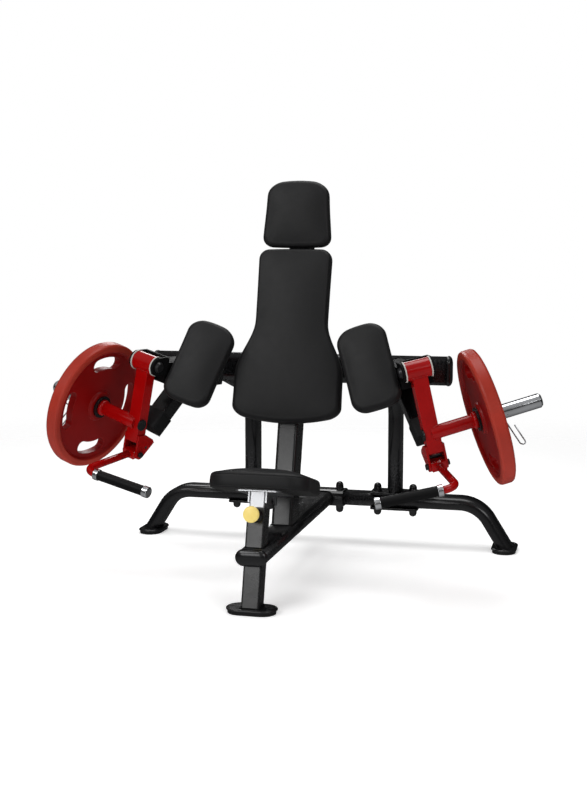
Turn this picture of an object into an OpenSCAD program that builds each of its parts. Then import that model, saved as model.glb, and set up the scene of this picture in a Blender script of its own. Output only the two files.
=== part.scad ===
// Plate-loaded biceps curl machine. A flat-oval steel frame carries a leaned seat column, back and
// head cushions, and two canted curl arms with weight plates, arm cushions and hinged handles.
// Millimetres, +Z up. The seat faces -Y and the part stands on Z = 0, centred in its footprint.

/* [Frame tube] */
// Wide side of the flat-oval frame tube
tube_w = 100; // [80:1:120]
// Narrow side of the flat-oval frame tube
tube_h = 50; // [40:1:60]
// Wall of the frame tubes
tube_wall = 3; // [2:0.5:4]
// Height of the beam and leg centrelines above the floor
beam_z = 174; // [160:1:200]
// Distance from the rear legs to the foot of the seat column
base_len = 1010; // [940:1:1080]
// Length of the beam in front of the seat column foot line
beam_nose = 0; // [0:1:20]
// Thickness of the moulded beam end
beam_cap_t = 12; // [8:1:16]
// Rim of the moulded tube ends beyond the tube
cap_rim = 3; // [2:0.5:5]

/* [Rear legs] */
// Distance from the middle to the centre of each rear foot
foot_x = 695; // [660:1:730]
// Bend angle of each rear leg
leg_bend = 58; // [50:1:65]
// Centreline radius of the leg bend
leg_radius = 125; // [100:1:150]
// Half length of the middle sleeve
sleeve_half = 86; // [75:1:100]
// Wall of the middle sleeve
sleeve_wall = 6; // [4:0.5:8]
// Distance of the sleeve bolts from the middle
sleeve_bolt_x = 64; // [55:1:70]

/* [Feet] */
// Length of each foot plate
foot_l = 150; // [144:1:170]
// Width of each foot plate
foot_w = 80; // [72:1:90]
// Thickness of each foot plate
foot_t = 8; // [6:1:10]
// Thickness of each rubber foot
pad_t = 10; // [8:1:14]
// Rim of the rubber foot beyond its plate
foot_lip = 3; // [2:0.5:5]
// Half spacing of the floor bolt holes in a foot
foot_hole_r = 61; // [59:1:64]
// Floor bolt hole
foot_hole_d = 11; // [9:0.5:13]

/* [Seat column] */
// Backward lean of the seat column
seat_lean = 15; // [10:0.5:18]
// Outside width of the square seat column
column_w = 60; // [58:1:66]
// Length of the seat column along its lean
column_len = 326; // [310:1:345]
// Width of the chromed seat post
post_w = 50; // [44:0.5:52]
// Wall of the seat post
post_wall = 3; // [2:0.5:4]
// Slide clearance round the seat post
post_clear = 0.3; // [0.2:0.05:0.5]
// Length of the seat post
post_len = 290; // [270:1:310]
// Height of the seat plate above the floor along the lean
seat_s = 374; // [365:1:395]
// Spacing of the post locating holes
post_step = 25; // [20:1:30]
// Number of post locating holes
post_holes = 5; // [3:1:6]

/* [Pull pin] */
// Place of the pull pin along the column
pull_s = 300; // [285:1:305]
// Diameter of the pull pin
pull_d = 12; // [10:0.5:14]
// Running clearance of the pull pin on each side
pull_fit = 0.05; // [0.02:0.01:0.1]
// Diameter of the pull pin housing
pull_housing_d = 26; // [22:1:32]
// Length of the pull pin housing
pull_housing_l = 42; // [34:1:50]
// Diameter of the knob
knob_d = 52; // [44:1:58]
// Thickness of the knob
knob_t = 24; // [18:1:30]

/* [Seat] */
// Width of the seat cushion
seat_w = 320; // [290:1:340]
// Depth of the seat cushion
seat_d = 270; // [250:1:300]
// Edge thickness of the seat cushion
seat_t = 54; // [46:1:64]
// Crown of the seat cushion
seat_crown = 9; // [5:1:14]
// Corner radius of the seat cushion
seat_corner = 62; // [45:1:80]
// Setback of the seat cushion centre from the post
seat_back = 62; // [45:1:75]
// Thickness of the seat plate
seat_plate_t = 6; // [4:1:8]

/* [Back support] */
// Backward lean of the centre upright and back cushion
back_lean = 15; // [12:0.5:18]
// Distance of the upright front face from the rear legs at the floor
upright_y = 703; // [680:1:720]
// Width of the centre upright
upright_w = 72; // [64:1:80]
// Depth of the centre upright
upright_d = 95; // [84:1:104]
// Length of the centre upright along its lean
upright_len = 1300; // [1270:1:1320]
// Wall of the centre upright
upright_wall = 3; // [2:0.5:4]
// Thickness of the cushion mounting plates
back_plate_t = 6; // [4:1:10]
// Length of the back cushion
back_len = 602; // [570:1:620]
// Distance of the upper end of the back cushion below the upright top
back_s = 150; // [138:1:162]
// Width of the back cushion at the shoulders
back_w_top = 254; // [236:1:270]
// Width of the back cushion at the waist
back_w_low = 378; // [350:1:390]
// Edge thickness of the back cushion
back_t = 52; // [44:1:60]
// Crown of the back cushion
back_crown = 9; // [5:1:14]
// Corner radius of the back cushion
back_corner = 62; // [40:1:70]
// Height above the cushion's lower end where the flare starts to narrow
flare_low = 165; // [140:1:190]
// Height above the cushion's lower end where the flare has narrowed to the shoulders
flare_top = 350; // [320:1:380]

/* [Head support] */
// Backward lean of the head cushion
head_lean = 8; // [4:0.5:12]
// Distance of the lower edge of the head cushion below the upright top
head_drop = 130.7; // [116:0.1:134]
// Length of the head cushion
head_len = 221; // [200:1:240]
// Width of the head cushion at its lower edge
head_w_low = 236; // [210:1:250]
// Width of the head cushion at its upper edge
head_w_top = 204; // [180:1:220]
// Edge thickness of the head cushion
head_t = 46; // [38:1:56]
// Crown of the head cushion
head_crown = 9; // [5:1:14]
// Corner radius of the head cushion
head_corner = 34; // [24:1:44]
// Distance of the head cushion back in front of the upright
head_fore = 6; // [5:0.5:12]

/* [Side uprights] */
// Distance from the middle to each side upright
side_x = 280; // [260:1:300]
// Centreline radius of the upright bend
side_radius = 150; // [120:1:180]
// Upward slope of the forward arm of each side upright
side_slope = 15; // [10:1:20]
// Height of the crossbar centre
bar_z = 708; // [690:1:720]
// Distance of the crossbar in front of the rear legs
bar_y = 395; // [385:1:405]
// Half length of the crossbar
bar_half = 521; // [505:1:535]
// Length of the upright base plate
base_l = 180; // [170:1:200]
// Width of the upright base plate
base_w = 100; // [90:1:110]
// Thickness of the upright base and clamp plates
base_t = 8; // [6:1:10]
// Distance of each base bolt from the upright
base_bolt = 68; // [62:1:72]
// Diameter of the frame bolts
bolt_d = 12; // [10:1:14]
// Clearance round the frame bolts
bolt_clear = 0.2; // [0.1:0.1:0.5]
// Diameter of the moulded bolt caps
bolt_cap_d = 24; // [20:1:28]
// Height of the moulded bolt caps
bolt_cap_h = 24; // [18:1:30]

/* [Curl arm place] */
// Distance of the curl pivot from the middle
pivot_x = 459; // [450:1:470]
// Distance of the curl pivot in front of the rear legs
pivot_y = 679; // [670:1:690]
// Height of the curl pivot
pivot_z = 739.5; // [730:0.5:750]
// Backward turn of the pivot axis
arm_turn = 22; // [18:0.5:26]
// Outward rise of the pivot axis
arm_rise = 13; // [10:0.5:16]

/* [Curl arm] */
// Diameter of the pivot housing
housing_d = 63; // [58:1:68]
// Half length of the pivot housing
housing_half = 41; // [38:1:45]
// Thickness of each pale bushing flange
flange_t = 4; // [3:0.5:5]
// Diameter of the pale bushing flanges
flange_d = 68; // [66:1:72]
// Diameter of the pivot shaft
shaft_d = 25; // [20:1:30]
// Running clearance of the pivot shaft on each side
shaft_fit = 0.05; // [0.02:0.01:0.1]
// Side gap between the pivot pieces
side_gap = 0.3; // [0.2:0.05:0.5]
// Width of the lever along the pivot axis
lever_w = 50; // [44:1:54]
// Depth of the lever
lever_d = 40; // [34:1:46]
// Distance from the pivot down to the handle hinge
hinge_drop = 319; // [310:1:330]
// Distance from the handle hinge up to the lever end
hinge_room = 42; // [38:1:48]
// Thickness of the pivot bracket cheeks
cheek_t = 8; // [6:1:10]
// Width of the square bracket arm
bracket_w = 60; // [54:1:64]
// Height of the bracket arm
bracket_h = 70; // [60:1:76]
// Wall of the bracket arm and the stop post
bracket_wall = 4; // [3:0.5:5]

/* [Plate horn] */
// Distance from the pivot down to the horn
horn_drop = 213; // [205:1:220]
// Forward offset of the horn from the lever middle
horn_fore = 8; // [0:1:10]
// Extra rise of the horn above the pivot axis
horn_rise = 3.7; // [1:0.1:5]
// Forward turn of the horn from the pivot axis
horn_turn = 4.2; // [0:0.1:6]
// Diameter of the red horn root
root_d = 45; // [40:1:46]
// Distance from the lever to the plate
plate_at = 160; // [150:1:170]
// Diameter of the chromed horn sleeve
horn_d = 48; // [46:0.5:49]
// Length of the chromed horn sleeve
horn_len = 205; // [190:1:225]
// Thickness of the horn flange
horn_flange_t = 8; // [6:1:10]
// Diameter of the horn flange
horn_flange_d = 78; // [70:1:90]

/* [Weight plate] */
// Diameter of the weight plate
plate_d = 450; // [420:1:460]
// Thickness of the plate at its rim and hub
plate_t = 46; // [38:1:52]
// Thickness of the plate web
web_t = 26; // [20:1:34]
// Width of the plate rim
rim_w = 27; // [20:1:32]
// Diameter of the plate hub
hub_d = 104; // [90:1:120]
// Outside diameter of the plate bore ring
ring_d = 64; // [60:1:70]
// Clearance of the plate bore round the horn
bore_clear = 0.4; // [0.3:0.05:0.8]
// Radius of the finger slots about the plate centre
slot_r = 157; // [150:1:162]
// Width of the finger slots
slot_w = 44; // [36:1:48]
// Half angle of each finger slot
slot_half = 17; // [14:0.5:20]

/* [Spring collar] */
// Wire of the spring collar
wire_d = 4.5; // [4:0.5:6]
// Turns of the spring collar
collar_turns = 2.75; // [2.75:1:4.75]
// Gap between the spring collar turns
collar_gap = 1.5; // [1:0.1:2.5]
// Half width of the loop at the end of each collar arm
collar_loop = 9; // [8:0.5:12]
// Length of the spring collar arms
collar_arm = 118; // [100:1:130]
// Turn of the spring collar about the horn
collar_spin = 335; // [300:1:360]
// Clearance between the wire and the horn
collar_clear = 0.5; // [0.4:0.1:1]

/* [Handle] */
// Diameter of the handle rod
rod_d = 25; // [22:1:26]
// Length of the rod from its hinge to its corner
rod_len = 230; // [215:1:245]
// Downward slope of the rod
rod_slope = 8; // [5:0.5:12]
// Bend of the rod beyond square
rod_turn = 8; // [0:0.5:12]
// Centreline radius of the rod corner
rod_radius = 38; // [32:1:45]
// Diameter of the rubber grip
grip_d = 34; // [31:1:38]
// Length of the rubber grip
grip_len = 196; // [180:1:210]
// Diameter of the grip end collars
grip_collar_d = 38; // [36:1:42]
// Thickness of the grip end collars
grip_collar_t = 8; // [6:1:12]
// Diameter of the hinge pin
hinge_d = 12; // [10:0.5:14]
// Running clearance of the hinge pin on each side
hinge_fit = 0.05; // [0.02:0.01:0.1]
// Half height of the rod tongue
tongue_r = 14; // [13.5:0.5:15]
// Length of the rod tongue behind the hinge
tongue_tail = 34; // [30:1:36]
// Side gap between the rod tongue and the clevis cheeks
tongue_gap = 0.5; // [0.3:0.1:1]
// Thickness of the clevis cheeks
clevis_t = 7; // [6:0.5:9]
// Radius of the clevis cheeks round the hinge
clevis_r = 18; // [16:0.5:20]
// Reach of the clevis cheeks behind the hinge
clevis_back = 64; // [58:1:68]
// Lap of the clevis cheeks on the lever
clevis_lap = 26; // [20:1:32]

/* [Arm cushion] */
// Width of the arm cushion
arm_pad_w = 154; // [136:1:156]
// Length of the arm cushion
arm_pad_len = 276; // [250:1:290]
// Edge thickness of the arm cushion
arm_pad_t = 50; // [42:1:58]
// Crown of the arm cushion
arm_pad_crown = 8; // [5:1:12]
// Corner radius of each arm cushion
arm_pad_corner = 26; // [18:1:34]
// Distance of the arm cushion from the middle
arm_pad_x = 293; // [289:1:296]
// Distance of the arm cushion in front of the rear legs
arm_pad_y = 603; // [596:1:610]
// Height of the arm cushion
arm_pad_z = 728; // [722:1:734]
// Forward lean of the arm cushion
arm_pad_lean = 21.5; // [18:0.5:25]
// Outward rise of the arm cushion
arm_pad_rise = 18.8; // [15:0.5:21]
// Backward turn of the arm cushion
arm_pad_turn = 2.6; // [0:0.2:5]
// Thickness of the arm cushion plate
arm_plate_t = 6; // [4:1:8]

/* [Stop post] */
// Width of the square stop post
stop_w = 62; // [54:1:64]
// Place of the stop post head behind the pivot
stop_y = 205; // [198:1:212]
// Inward offset of the stop post head from the pivot middle
stop_in = 18; // [12:1:24]
// Length of the stop post below the bracket arm
stop_len = 222; // [212:1:228]
// Length of the stop post above its root, before it is cut to the bracket
stop_root = 60; // [40:1:70]
// Forward lean of the stop post
stop_lean = 39; // [36:0.5:41]
// Outward lean of the stop post
stop_out = 4; // [2:0.5:6]
// Wall of the rubber stop cap
stop_cap_wall = 4; // [3:0.5:5]
// Height of the rubber stop cap
stop_cap_h = 68; // [55:1:80]
// Thickness of the rubber stop cap floor
stop_cap_floor = 10; // [6:1:14]
// Diameter of the rubber lever stop
bumper_d = 28; // [24:1:34]

/* [Hidden] */
$fn = 64;
arc_steps = 8;
bend_steps = 10;
cap_steps = 3;
big = 3000;
back_mid = upright_len - back_s - back_len / 2;
cross_y = (base_len + (foot_w - foot_l) / 2) / 2;
foot_top = pad_t + foot_t;
sleeve_w = tube_w + 2 * sleeve_wall;
sleeve_h = tube_h + 2 * sleeve_wall;
leg_top = beam_z + tube_h / 2;
leg_corner_x = foot_x - (beam_z - foot_top) / tan(leg_bend);
leg_tangent = leg_radius * tan(leg_bend / 2);
leg_start_x = 4;
column_in = post_w + 2 * post_clear;
pull_bore = pull_d + 2 * pull_fit;
ear_t = seat_plate_t;
ear_h = post_w * 0.68;
beam_len = base_len + beam_nose;
side_turn = 90 - side_slope;
side_corner_z = bar_z - bar_y * tan(side_slope);
side_tangent = side_radius * tan(side_turn / 2);
side_base_z = leg_top + base_t;
shaft_bore = shaft_d + 2 * shaft_fit;
cheek_x = housing_half + flange_t + side_gap;
cheek_r = housing_d / 2;
bracket_front = cheek_r + 7;
bracket_back = bracket_front + 10;
bracket_x = -20;
bracket_top = 10;
arm_tie_w = arm_pad_w * 0.62;
bracket_end = (pivot_y - bar_y) / cos(arm_turn) + 6;
lever_end = hinge_drop - hinge_room;
horn_start = plate_at - horn_flange_t;
ring_bore = horn_d + 2 * bore_clear;
rod_bend = 90 + rod_turn;
rod_tangent = rod_radius * tan(rod_bend / 2);
grip_start = grip_collar_t + 6;
hinge_bore = hinge_d + 2 * hinge_fit;
tongue_t = lever_w - 2 * tongue_gap;
clevis_out = lever_w / 2 + clevis_t;
rest_pin_d = 10;
rest_pin_y = tongue_tail - 8;
rest_pin_z = tongue_r / cos(rod_slope) + rest_pin_y * tan(rod_slope) + rest_pin_d / 2 + side_gap;
bumper_z = bracket_h - bracket_top + stop_len * cos(stop_lean) - 8;
bumper_root = stop_y - stop_len * sin(stop_lean);
collar_r = horn_d / 2 + collar_clear + wire_d / 2;
collar_step = 18;
collar_pitch = wire_d + collar_gap;
collar_turn_rings = round(collar_turns * 360 / collar_step);
rod_steps = 10;
wire_sides = 8;

// Points of a flat oval, wide along x
function oval_points(w, h) = concat(
    [for (i = [0:arc_steps]) let (a = -90 + 180 * i / arc_steps)
        [(w - h) / 2 + h / 2 * cos(a), h / 2 * sin(a)]],
    [for (i = [0:arc_steps]) let (a = 90 + 180 * i / arc_steps)
        [-(w - h) / 2 + h / 2 * cos(a), h / 2 * sin(a)]]);

// Points of a rectangle with round corners
function round_points(a, b, r) = [for (q = [0:3]) for (i = [0:cap_steps])
    let (ang = 90 * q + 90 * i / cap_steps, sx = (q == 0 || q == 3) ? 1 : -1, sy = q < 2 ? 1 : -1)
        [sx * (a / 2 - r) + r * cos(ang), sy * (b / 2 - r) + r * sin(ang)]];

// Points of a flat oval, wide along y
function upright_oval(w, h) = [for (p = oval_points(w, h)) [-p[1], p[0]]];

// A tube swept along points and directions, its section held square to the side direction
module tube(path, side, pts) {
    n = len(path);
    m = len(pts);
    rings = [for (e = path) for (q = pts) e[0] + cross(side, e[1]) * q[0] + side * q[1]];
    polyhedron(concat(rings, [path[0][0], path[n - 1][0]]), concat(
        [for (k = [0:m - 1]) [n * m, k, (k + 1) % m]],
        [for (i = [0:n - 2]) for (k = [0:m - 1]) [i * m + k, (i + 1) * m + k, (i + 1) * m + (k + 1) % m]],
        [for (i = [0:n - 2]) for (k = [0:m - 1]) [i * m + k, (i + 1) * m + (k + 1) % m, i * m + (k + 1) % m]],
        [for (k = [0:m - 1]) [n * m + 1, (n - 1) * m + (k + 1) % m, (n - 1) * m + k]]));
}

module oval(w, h) polygon(oval_points(w, h));

module oval_wall(w, h, wall) difference() {
    oval(w, h);
    oval(w - 2 * wall, h - 2 * wall);
}

module rounded(a, b, r) polygon(round_points(a, b, r));

module square_wall(a, b, wall, r) difference() {
    rounded(a, b, r);
    rounded(a - 2 * wall, b - 2 * wall, max(r - wall, 0.5));
}

module disc_x(d, x0, x1) translate([x0, 0, 0]) rotate([0, 90, 0]) cylinder(d = d, h = x1 - x0);

module placed() translate([0, cross_y, 0]) children();

module column_frame() translate([0, -base_len, 0]) rotate([-seat_lean, 0, 0]) children();

module back_frame() translate([0, -upright_y, 0]) rotate([-back_lean, 0, 0]) children();

module head_frame() back_frame() translate([0, -head_fore, upright_len - head_drop])
    rotate([back_lean - head_lean, 0, 0]) children();

module arm_frame() translate([pivot_x, -pivot_y, pivot_z]) rotate([0, -arm_rise, arm_turn]) children();

module horn_frame() translate([0, -horn_fore, -horn_drop]) rotate([0, -horn_rise, -horn_turn]) children();

module hinge_frame() translate([0, 0, -hinge_drop]) rotate([rod_slope, 0, 0]) children();

module pad_frame() translate([arm_pad_x, -arm_pad_y, arm_pad_z])
    rotate([-arm_pad_lean, -arm_pad_rise, arm_pad_turn]) children();

module stop_frame() translate([-stop_in, stop_y, bracket_top - bracket_h])
    rotate([-stop_lean, -stop_out, 0]) children();

module mirrored() mirror([1, 0, 0]) children();

// Height samples of a cushion outline, closer together towards both ends
function pad_heights(len, n) = [for (i = [0:n]) -len / 2 * cos(180 * i / n)];

// Half width of a cushion outline at height y, with its flare, round ends and drawn-in sides
function pad_half(y, len, w0, w1, y0, y1, r, draw) =
    let (t = min(1, max(0, (y - y0) / (y1 - y0))),
         half = (w0 + (w1 - w0) * t * t * (3 - 2 * t)) / 2,
         e = max(0, abs(y) - (len / 2 - r)),
         k = 2 * y / len)
    half - r + sqrt(max(0, r * r - e * e)) - draw * (1 - k * k);

function pad_outline(len, w0, w1, y0, y1, r, draw, n) =
    let (hs = pad_heights(len, n))
    concat([for (y = hs) [pad_half(y, len, w0, w1, y0, y1, r, draw), y]],
           [for (i = [n:-1:0]) [-pad_half(hs[i], len, w0, w1, y0, y1, r, draw), hs[i]]]);

// A cushion lies on its flat back at z = 0, with drawn-in edges and a crowned front
module cushion(len, w0, w1, y0, y1, r, t, crown, n) {
    ring = pad_outline(len, w0, w1, y0, y1, r, 3, n);
    m = len(ring);
    hw = max(w0, w1) / 2;
    hh = len / 2;
    edge = [[0, 7], [2, 3], [7, 0.6], [t * 0.45, 0], [t - 14, 0.8], [t - 6, 4], [t - 1.5, 9], [t, 15]];
    dome = [[0.45, 0.80], [0.8, 0.52], [0.97, 0.22]];
    sides = [for (p = edge) for (q = ring) [q[0] * (1 - p[1] / hw), q[1] * (1 - p[1] / hh), p[0]]];
    tops = [for (d = dome) for (q = ring)
        [q[0] * (1 - 15 / hw) * d[1], q[1] * (1 - 15 / hh) * d[1], t + crown * d[0]]];
    pts = concat(sides, tops, [[0, 0, 0], [0, 0, t + crown]]);
    rows = len(edge) + len(dome);
    low = m * rows;
    polyhedron(pts, concat(
        [for (i = [0:m - 1]) [low, i, (i + 1) % m]],
        [for (k = [0:rows - 2]) for (i = [0:m - 1])
            [k * m + i, (k + 1) * m + i, (k + 1) * m + (i + 1) % m]],
        [for (k = [0:rows - 2]) for (i = [0:m - 1])
            [k * m + i, (k + 1) * m + (i + 1) % m, k * m + (i + 1) % m]],
        [for (i = [0:m - 1]) [low + 1, low - m + (i + 1) % m, low - m + i]]));
}

// Solids that neighbours are cut to
module beam_solid() translate([0, -beam_len, beam_z]) rotate([-90, 0, 0])
    linear_extrude(beam_len) oval(tube_w, tube_h);

module column_solid() column_frame() linear_extrude(column_len) rounded(column_w, column_w, 6);

module sleeve_solid() translate([-sleeve_half, 0, beam_z]) rotate([90, 0, 90])
    linear_extrude(2 * sleeve_half) oval(sleeve_w, sleeve_h);

module bar_solid() translate([-bar_half, -bar_y, bar_z]) rotate([90, 0, 90])
    linear_extrude(2 * bar_half) rotate(90) oval(tube_w, tube_h);

module below(z) translate([-big / 2, -big / 2, z - big]) cube(big);

module bolt_places() for (x = [sleeve_bolt_x, side_x - base_bolt, side_x + base_bolt]) for (s = [-1, 1])
    translate([s * x, 0, 0]) children();

module bolt_holes() bolt_places() cylinder(d = bolt_d + 2 * bolt_clear, h = 2 * beam_z);

// Base frame
module main_beam() color("#191a1c") placed() difference() {
    translate([0, -beam_len, beam_z]) rotate([-90, 0, 0]) linear_extrude(beam_len)
        oval_wall(tube_w, tube_h, tube_wall);
    column_solid();
    sleeve_solid();
}

module beam_cap() color("#101113") placed() translate([0, -beam_len, beam_z]) rotate([90, 0, 0]) {
    linear_extrude(beam_cap_t - 4) oval(tube_w + 2 * cap_rim, tube_h + 2 * cap_rim);
    translate([0, 0, beam_cap_t - 4]) linear_extrude(4) oval(tube_w - cap_rim, tube_h - cap_rim);
}

module seat_column() color("#191a1c") placed() difference() {
    column_frame() linear_extrude(column_len) difference() {
        rounded(column_w, column_w, 6);
        rounded(column_in, column_in, 4);
    }
    below(foot_top);
    column_frame() translate([0, 0, pull_s]) rotate([90, 0, 0]) cylinder(d = pull_bore, h = column_w);
}

module pull_housing() color("#141518") placed() column_frame() translate([0, -column_w / 2, pull_s])
    rotate([90, 0, 0]) difference() {
        union() {
            cylinder(d = pull_housing_d, h = pull_housing_l);
            cylinder(d = pull_housing_d + 8, h = 6);
        }
        translate([0, 0, -1]) cylinder(d = pull_bore, h = pull_housing_l + 2);
    }

module cross_sleeve() color("#191a1c") placed() difference() {
    translate([-sleeve_half, 0, beam_z]) rotate([90, 0, 90]) linear_extrude(2 * sleeve_half)
        difference() {
            oval(sleeve_w, sleeve_h);
            oval(tube_w, tube_h);
        }
    bolt_holes();
}

function leg_path(over) = concat(
    [[[leg_start_x - over, 0, beam_z], [1, 0, 0]]],
    [for (i = [0:bend_steps]) let (a = leg_bend * i / bend_steps)
        [[leg_corner_x - leg_tangent + leg_radius * sin(a), 0, beam_z - leg_radius * (1 - cos(a))],
         [cos(a), 0, -sin(a)]]],
    [let (a = leg_bend, k = beam_z / sin(leg_bend) + over)
        [[leg_corner_x - leg_tangent + leg_radius * sin(a) + k * cos(a), 0,
          beam_z - leg_radius * (1 - cos(a)) - k * sin(a)], [cos(a), 0, -sin(a)]]]);

module leg_shape() difference() {
    tube(leg_path(0), [0, 1, 0], upright_oval(tube_w, tube_h));
    tube(leg_path(5), [0, 1, 0], upright_oval(tube_w - 2 * tube_wall, tube_h - 2 * tube_wall));
}

module right_leg() color("#191a1c") placed() difference() {
    leg_shape();
    below(foot_top);
    bolt_holes();
}

module left_leg() mirrored() right_leg();

module foot_plate() difference() {
    linear_extrude(foot_t) oval(foot_l, foot_w);
    for (s = [-1, 1]) translate([s * foot_hole_r, 0, -1]) cylinder(d = foot_hole_d, h = foot_t + 2);
}

module foot_pad() difference() {
    linear_extrude(pad_t) oval(foot_l + 2 * foot_lip, foot_w + 2 * foot_lip);
    for (s = [-1, 1]) translate([s * foot_hole_r, 0, -1]) cylinder(d = foot_hole_d, h = pad_t + 2);
}

module front_foot() color("#191a1c") placed() translate([0, -base_len, pad_t]) foot_plate();

module right_foot() color("#191a1c") placed() translate([foot_x, 0, pad_t]) rotate(90) foot_plate();

module left_foot() mirrored() right_foot();

module foot_pads() color("#0e0f10") placed() {
    translate([0, -base_len, 0]) foot_pad();
    for (s = [-1, 1]) translate([s * foot_x, 0, 0]) rotate(90) foot_pad();
}

// Back support
module centre_upright() color("#191a1c") placed() difference() {
    back_frame() translate([0, upright_d / 2, 0]) linear_extrude(upright_len)
        square_wall(upright_w, upright_d, upright_wall, 10);
    beam_solid();
    below(beam_z);
    bar_solid();
}

module upright_cap() color("#101113") placed() back_frame() translate([0, upright_d / 2, upright_len])
    linear_extrude(5) rounded(upright_w + 2, upright_d + 2, 10);

module back_plates() color("#191a1c") placed() {
    back_frame() translate([0, 0, back_mid]) rotate([90, 0, 0])
        linear_extrude(back_plate_t) rounded(back_w_top * 0.6, back_len * 0.85, 20);
    difference() {
        head_frame() translate([0, 0, head_len / 2]) rotate([-90, 0, 0])
            linear_extrude(upright_d) rounded(upright_w, head_len * 0.55, 8);
        back_frame() translate([-big / 2, 0, -big / 2]) cube(big);
        back_frame() translate([-big / 2, -big / 2, upright_len - 4]) cube(big);
    }
}

module back_pad() color("#232427") placed() back_frame()
    translate([0, -back_plate_t, back_mid]) rotate([90, 0, 0])
    cushion(back_len, back_w_low, back_w_top, flare_low - back_len / 2, flare_top - back_len / 2,
        back_corner, back_t, back_crown, 26);

module head_pad() color("#232427") placed() head_frame() translate([0, 0, head_len / 2])
    rotate([90, 0, 0])
    cushion(head_len, head_w_low, head_w_top, -head_len / 2, head_len / 2, head_corner, head_t,
        head_crown, 20);

// Side uprights
function side_path(over) = concat(
    [[[side_x, 0, side_base_z - over], [0, 0, 1]]],
    [for (i = [0:bend_steps]) let (a = side_turn * i / bend_steps)
        [[side_x, -side_radius * (1 - cos(a)), side_corner_z - side_tangent + side_radius * sin(a)],
         [0, -sin(a), cos(a)]]],
    [let (a = side_turn, k = bar_y / cos(side_slope) - side_tangent + over)
        [[side_x, -side_radius * (1 - cos(a)) - k * sin(a),
          side_corner_z - side_tangent + side_radius * sin(a) + k * cos(a)],
         [0, -sin(a), cos(a)]]]);

module side_shape() difference() {
    tube(side_path(0), [1, 0, 0], oval_points(tube_w, tube_h));
    tube(side_path(5), [1, 0, 0], oval_points(tube_w - 2 * tube_wall, tube_h - 2 * tube_wall));
}

module right_upright() color("#191a1c") placed() difference() {
    side_shape();
    bar_solid();
}

module left_upright() mirrored() right_upright();

module base_plate() difference() {
    linear_extrude(base_t) rounded(base_l, base_w, 12);
    for (s = [-1, 1]) translate([s * base_bolt, 0, -1]) cylinder(d = bolt_d + 2 * bolt_clear, h = base_t + 2);
}

module upright_bases() color("#191a1c") placed() for (s = [-1, 1]) translate([s * side_x, 0, 0]) {
    translate([0, 0, leg_top]) base_plate();
    translate([0, 0, leg_top - tube_h - base_t]) base_plate();
}

module frame_bolts() color("#55585c") placed() {
    for (x = [side_x - base_bolt, side_x + base_bolt]) for (s = [-1, 1])
        translate([s * x, 0, leg_top - tube_h - base_t]) cylinder(d = bolt_d, h = tube_h + 2 * base_t);
    for (s = [-1, 1]) translate([s * sleeve_bolt_x, 0, beam_z - sleeve_h / 2])
        cylinder(d = bolt_d, h = sleeve_h);
}

module bolt_cap() rotate_extrude() polygon(concat([[0, 0], [bolt_cap_d / 2, 0]],
    [for (i = [0:6]) [bolt_cap_d / 2 - 4 + 4 * cos(15 * i), bolt_cap_h - 4 + 4 * sin(15 * i)]],
    [[0, bolt_cap_h]]));

module bolt_caps() color("#0e0f10") placed() {
    for (x = [side_x - base_bolt, side_x + base_bolt]) for (s = [-1, 1]) translate([s * x, 0, 0]) {
        translate([0, 0, leg_top + base_t]) bolt_cap();
        translate([0, 0, leg_top - tube_h - base_t]) rotate([180, 0, 0]) bolt_cap();
    }
    for (s = [-1, 1]) translate([s * sleeve_bolt_x, 0, beam_z]) {
        translate([0, 0, sleeve_h / 2]) bolt_cap();
        translate([0, 0, -sleeve_h / 2]) rotate([180, 0, 0]) bolt_cap();
    }
}

module crossbar() color("#191a1c") placed() translate([-bar_half, -bar_y, bar_z]) rotate([90, 0, 90])
    linear_extrude(2 * bar_half) rotate(90) oval_wall(tube_w, tube_h, tube_wall);

module crossbar_caps() color("#101113") placed() for (s = [0, 1]) mirror([s, 0, 0])
    translate([bar_half, -bar_y, bar_z]) rotate([90, 0, 90]) rotate(90) {
        linear_extrude(6) oval(tube_w + 2 * cap_rim, tube_h + 2 * cap_rim);
        translate([0, 0, 6]) linear_extrude(3) oval(tube_w - cap_rim, tube_h - cap_rim);
    }

// Arm brackets and stop posts, fixed to the crossbar
module bracket_box() translate([bracket_x - bracket_w / 2, bracket_back, bracket_top - bracket_h])
    cube([bracket_w, bracket_end - bracket_back, bracket_h]);

module cheek() difference() {
    union() {
        translate([cheek_x, 0, -cheek_r]) cube([cheek_t, bracket_back, 2 * cheek_r]);
        disc_x(2 * cheek_r, cheek_x, cheek_x + cheek_t);
    }
    disc_x(shaft_d, cheek_x - 1, cheek_x + cheek_t + 1);
}

module right_bracket() color("#191a1c") placed() difference() {
    arm_frame() {
        difference() {
            bracket_box();
            translate([bracket_x - bracket_w / 2 + bracket_wall, bracket_back,
                bracket_top - bracket_h + bracket_wall])
                cube([bracket_w - 2 * bracket_wall, bracket_end, bracket_h - 2 * bracket_wall]);
        }
        translate([-cheek_x - cheek_t, bracket_front, bracket_top - bracket_h])
            cube([2 * (cheek_x + cheek_t), bracket_back - bracket_front, bracket_h - bracket_top + cheek_r]);
        cheek();
        mirrored() cheek();
    }
    bar_solid();
}

module left_bracket() mirrored() right_bracket();

module stop_solid() stop_frame() translate([0, 0, -stop_len]) linear_extrude(stop_len + stop_root)
    rounded(stop_w, stop_w, 6);

module right_stop_post() color("#191a1c") placed() difference() {
    arm_frame() difference() {
        stop_frame() translate([0, 0, -stop_len]) linear_extrude(stop_len + stop_root)
            square_wall(stop_w, stop_w, bracket_wall, 6);
        translate([-big / 2, -big / 2, bracket_top - bracket_h]) cube(big);
    }
    bar_solid();
}

module left_stop_post() mirrored() right_stop_post();

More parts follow.
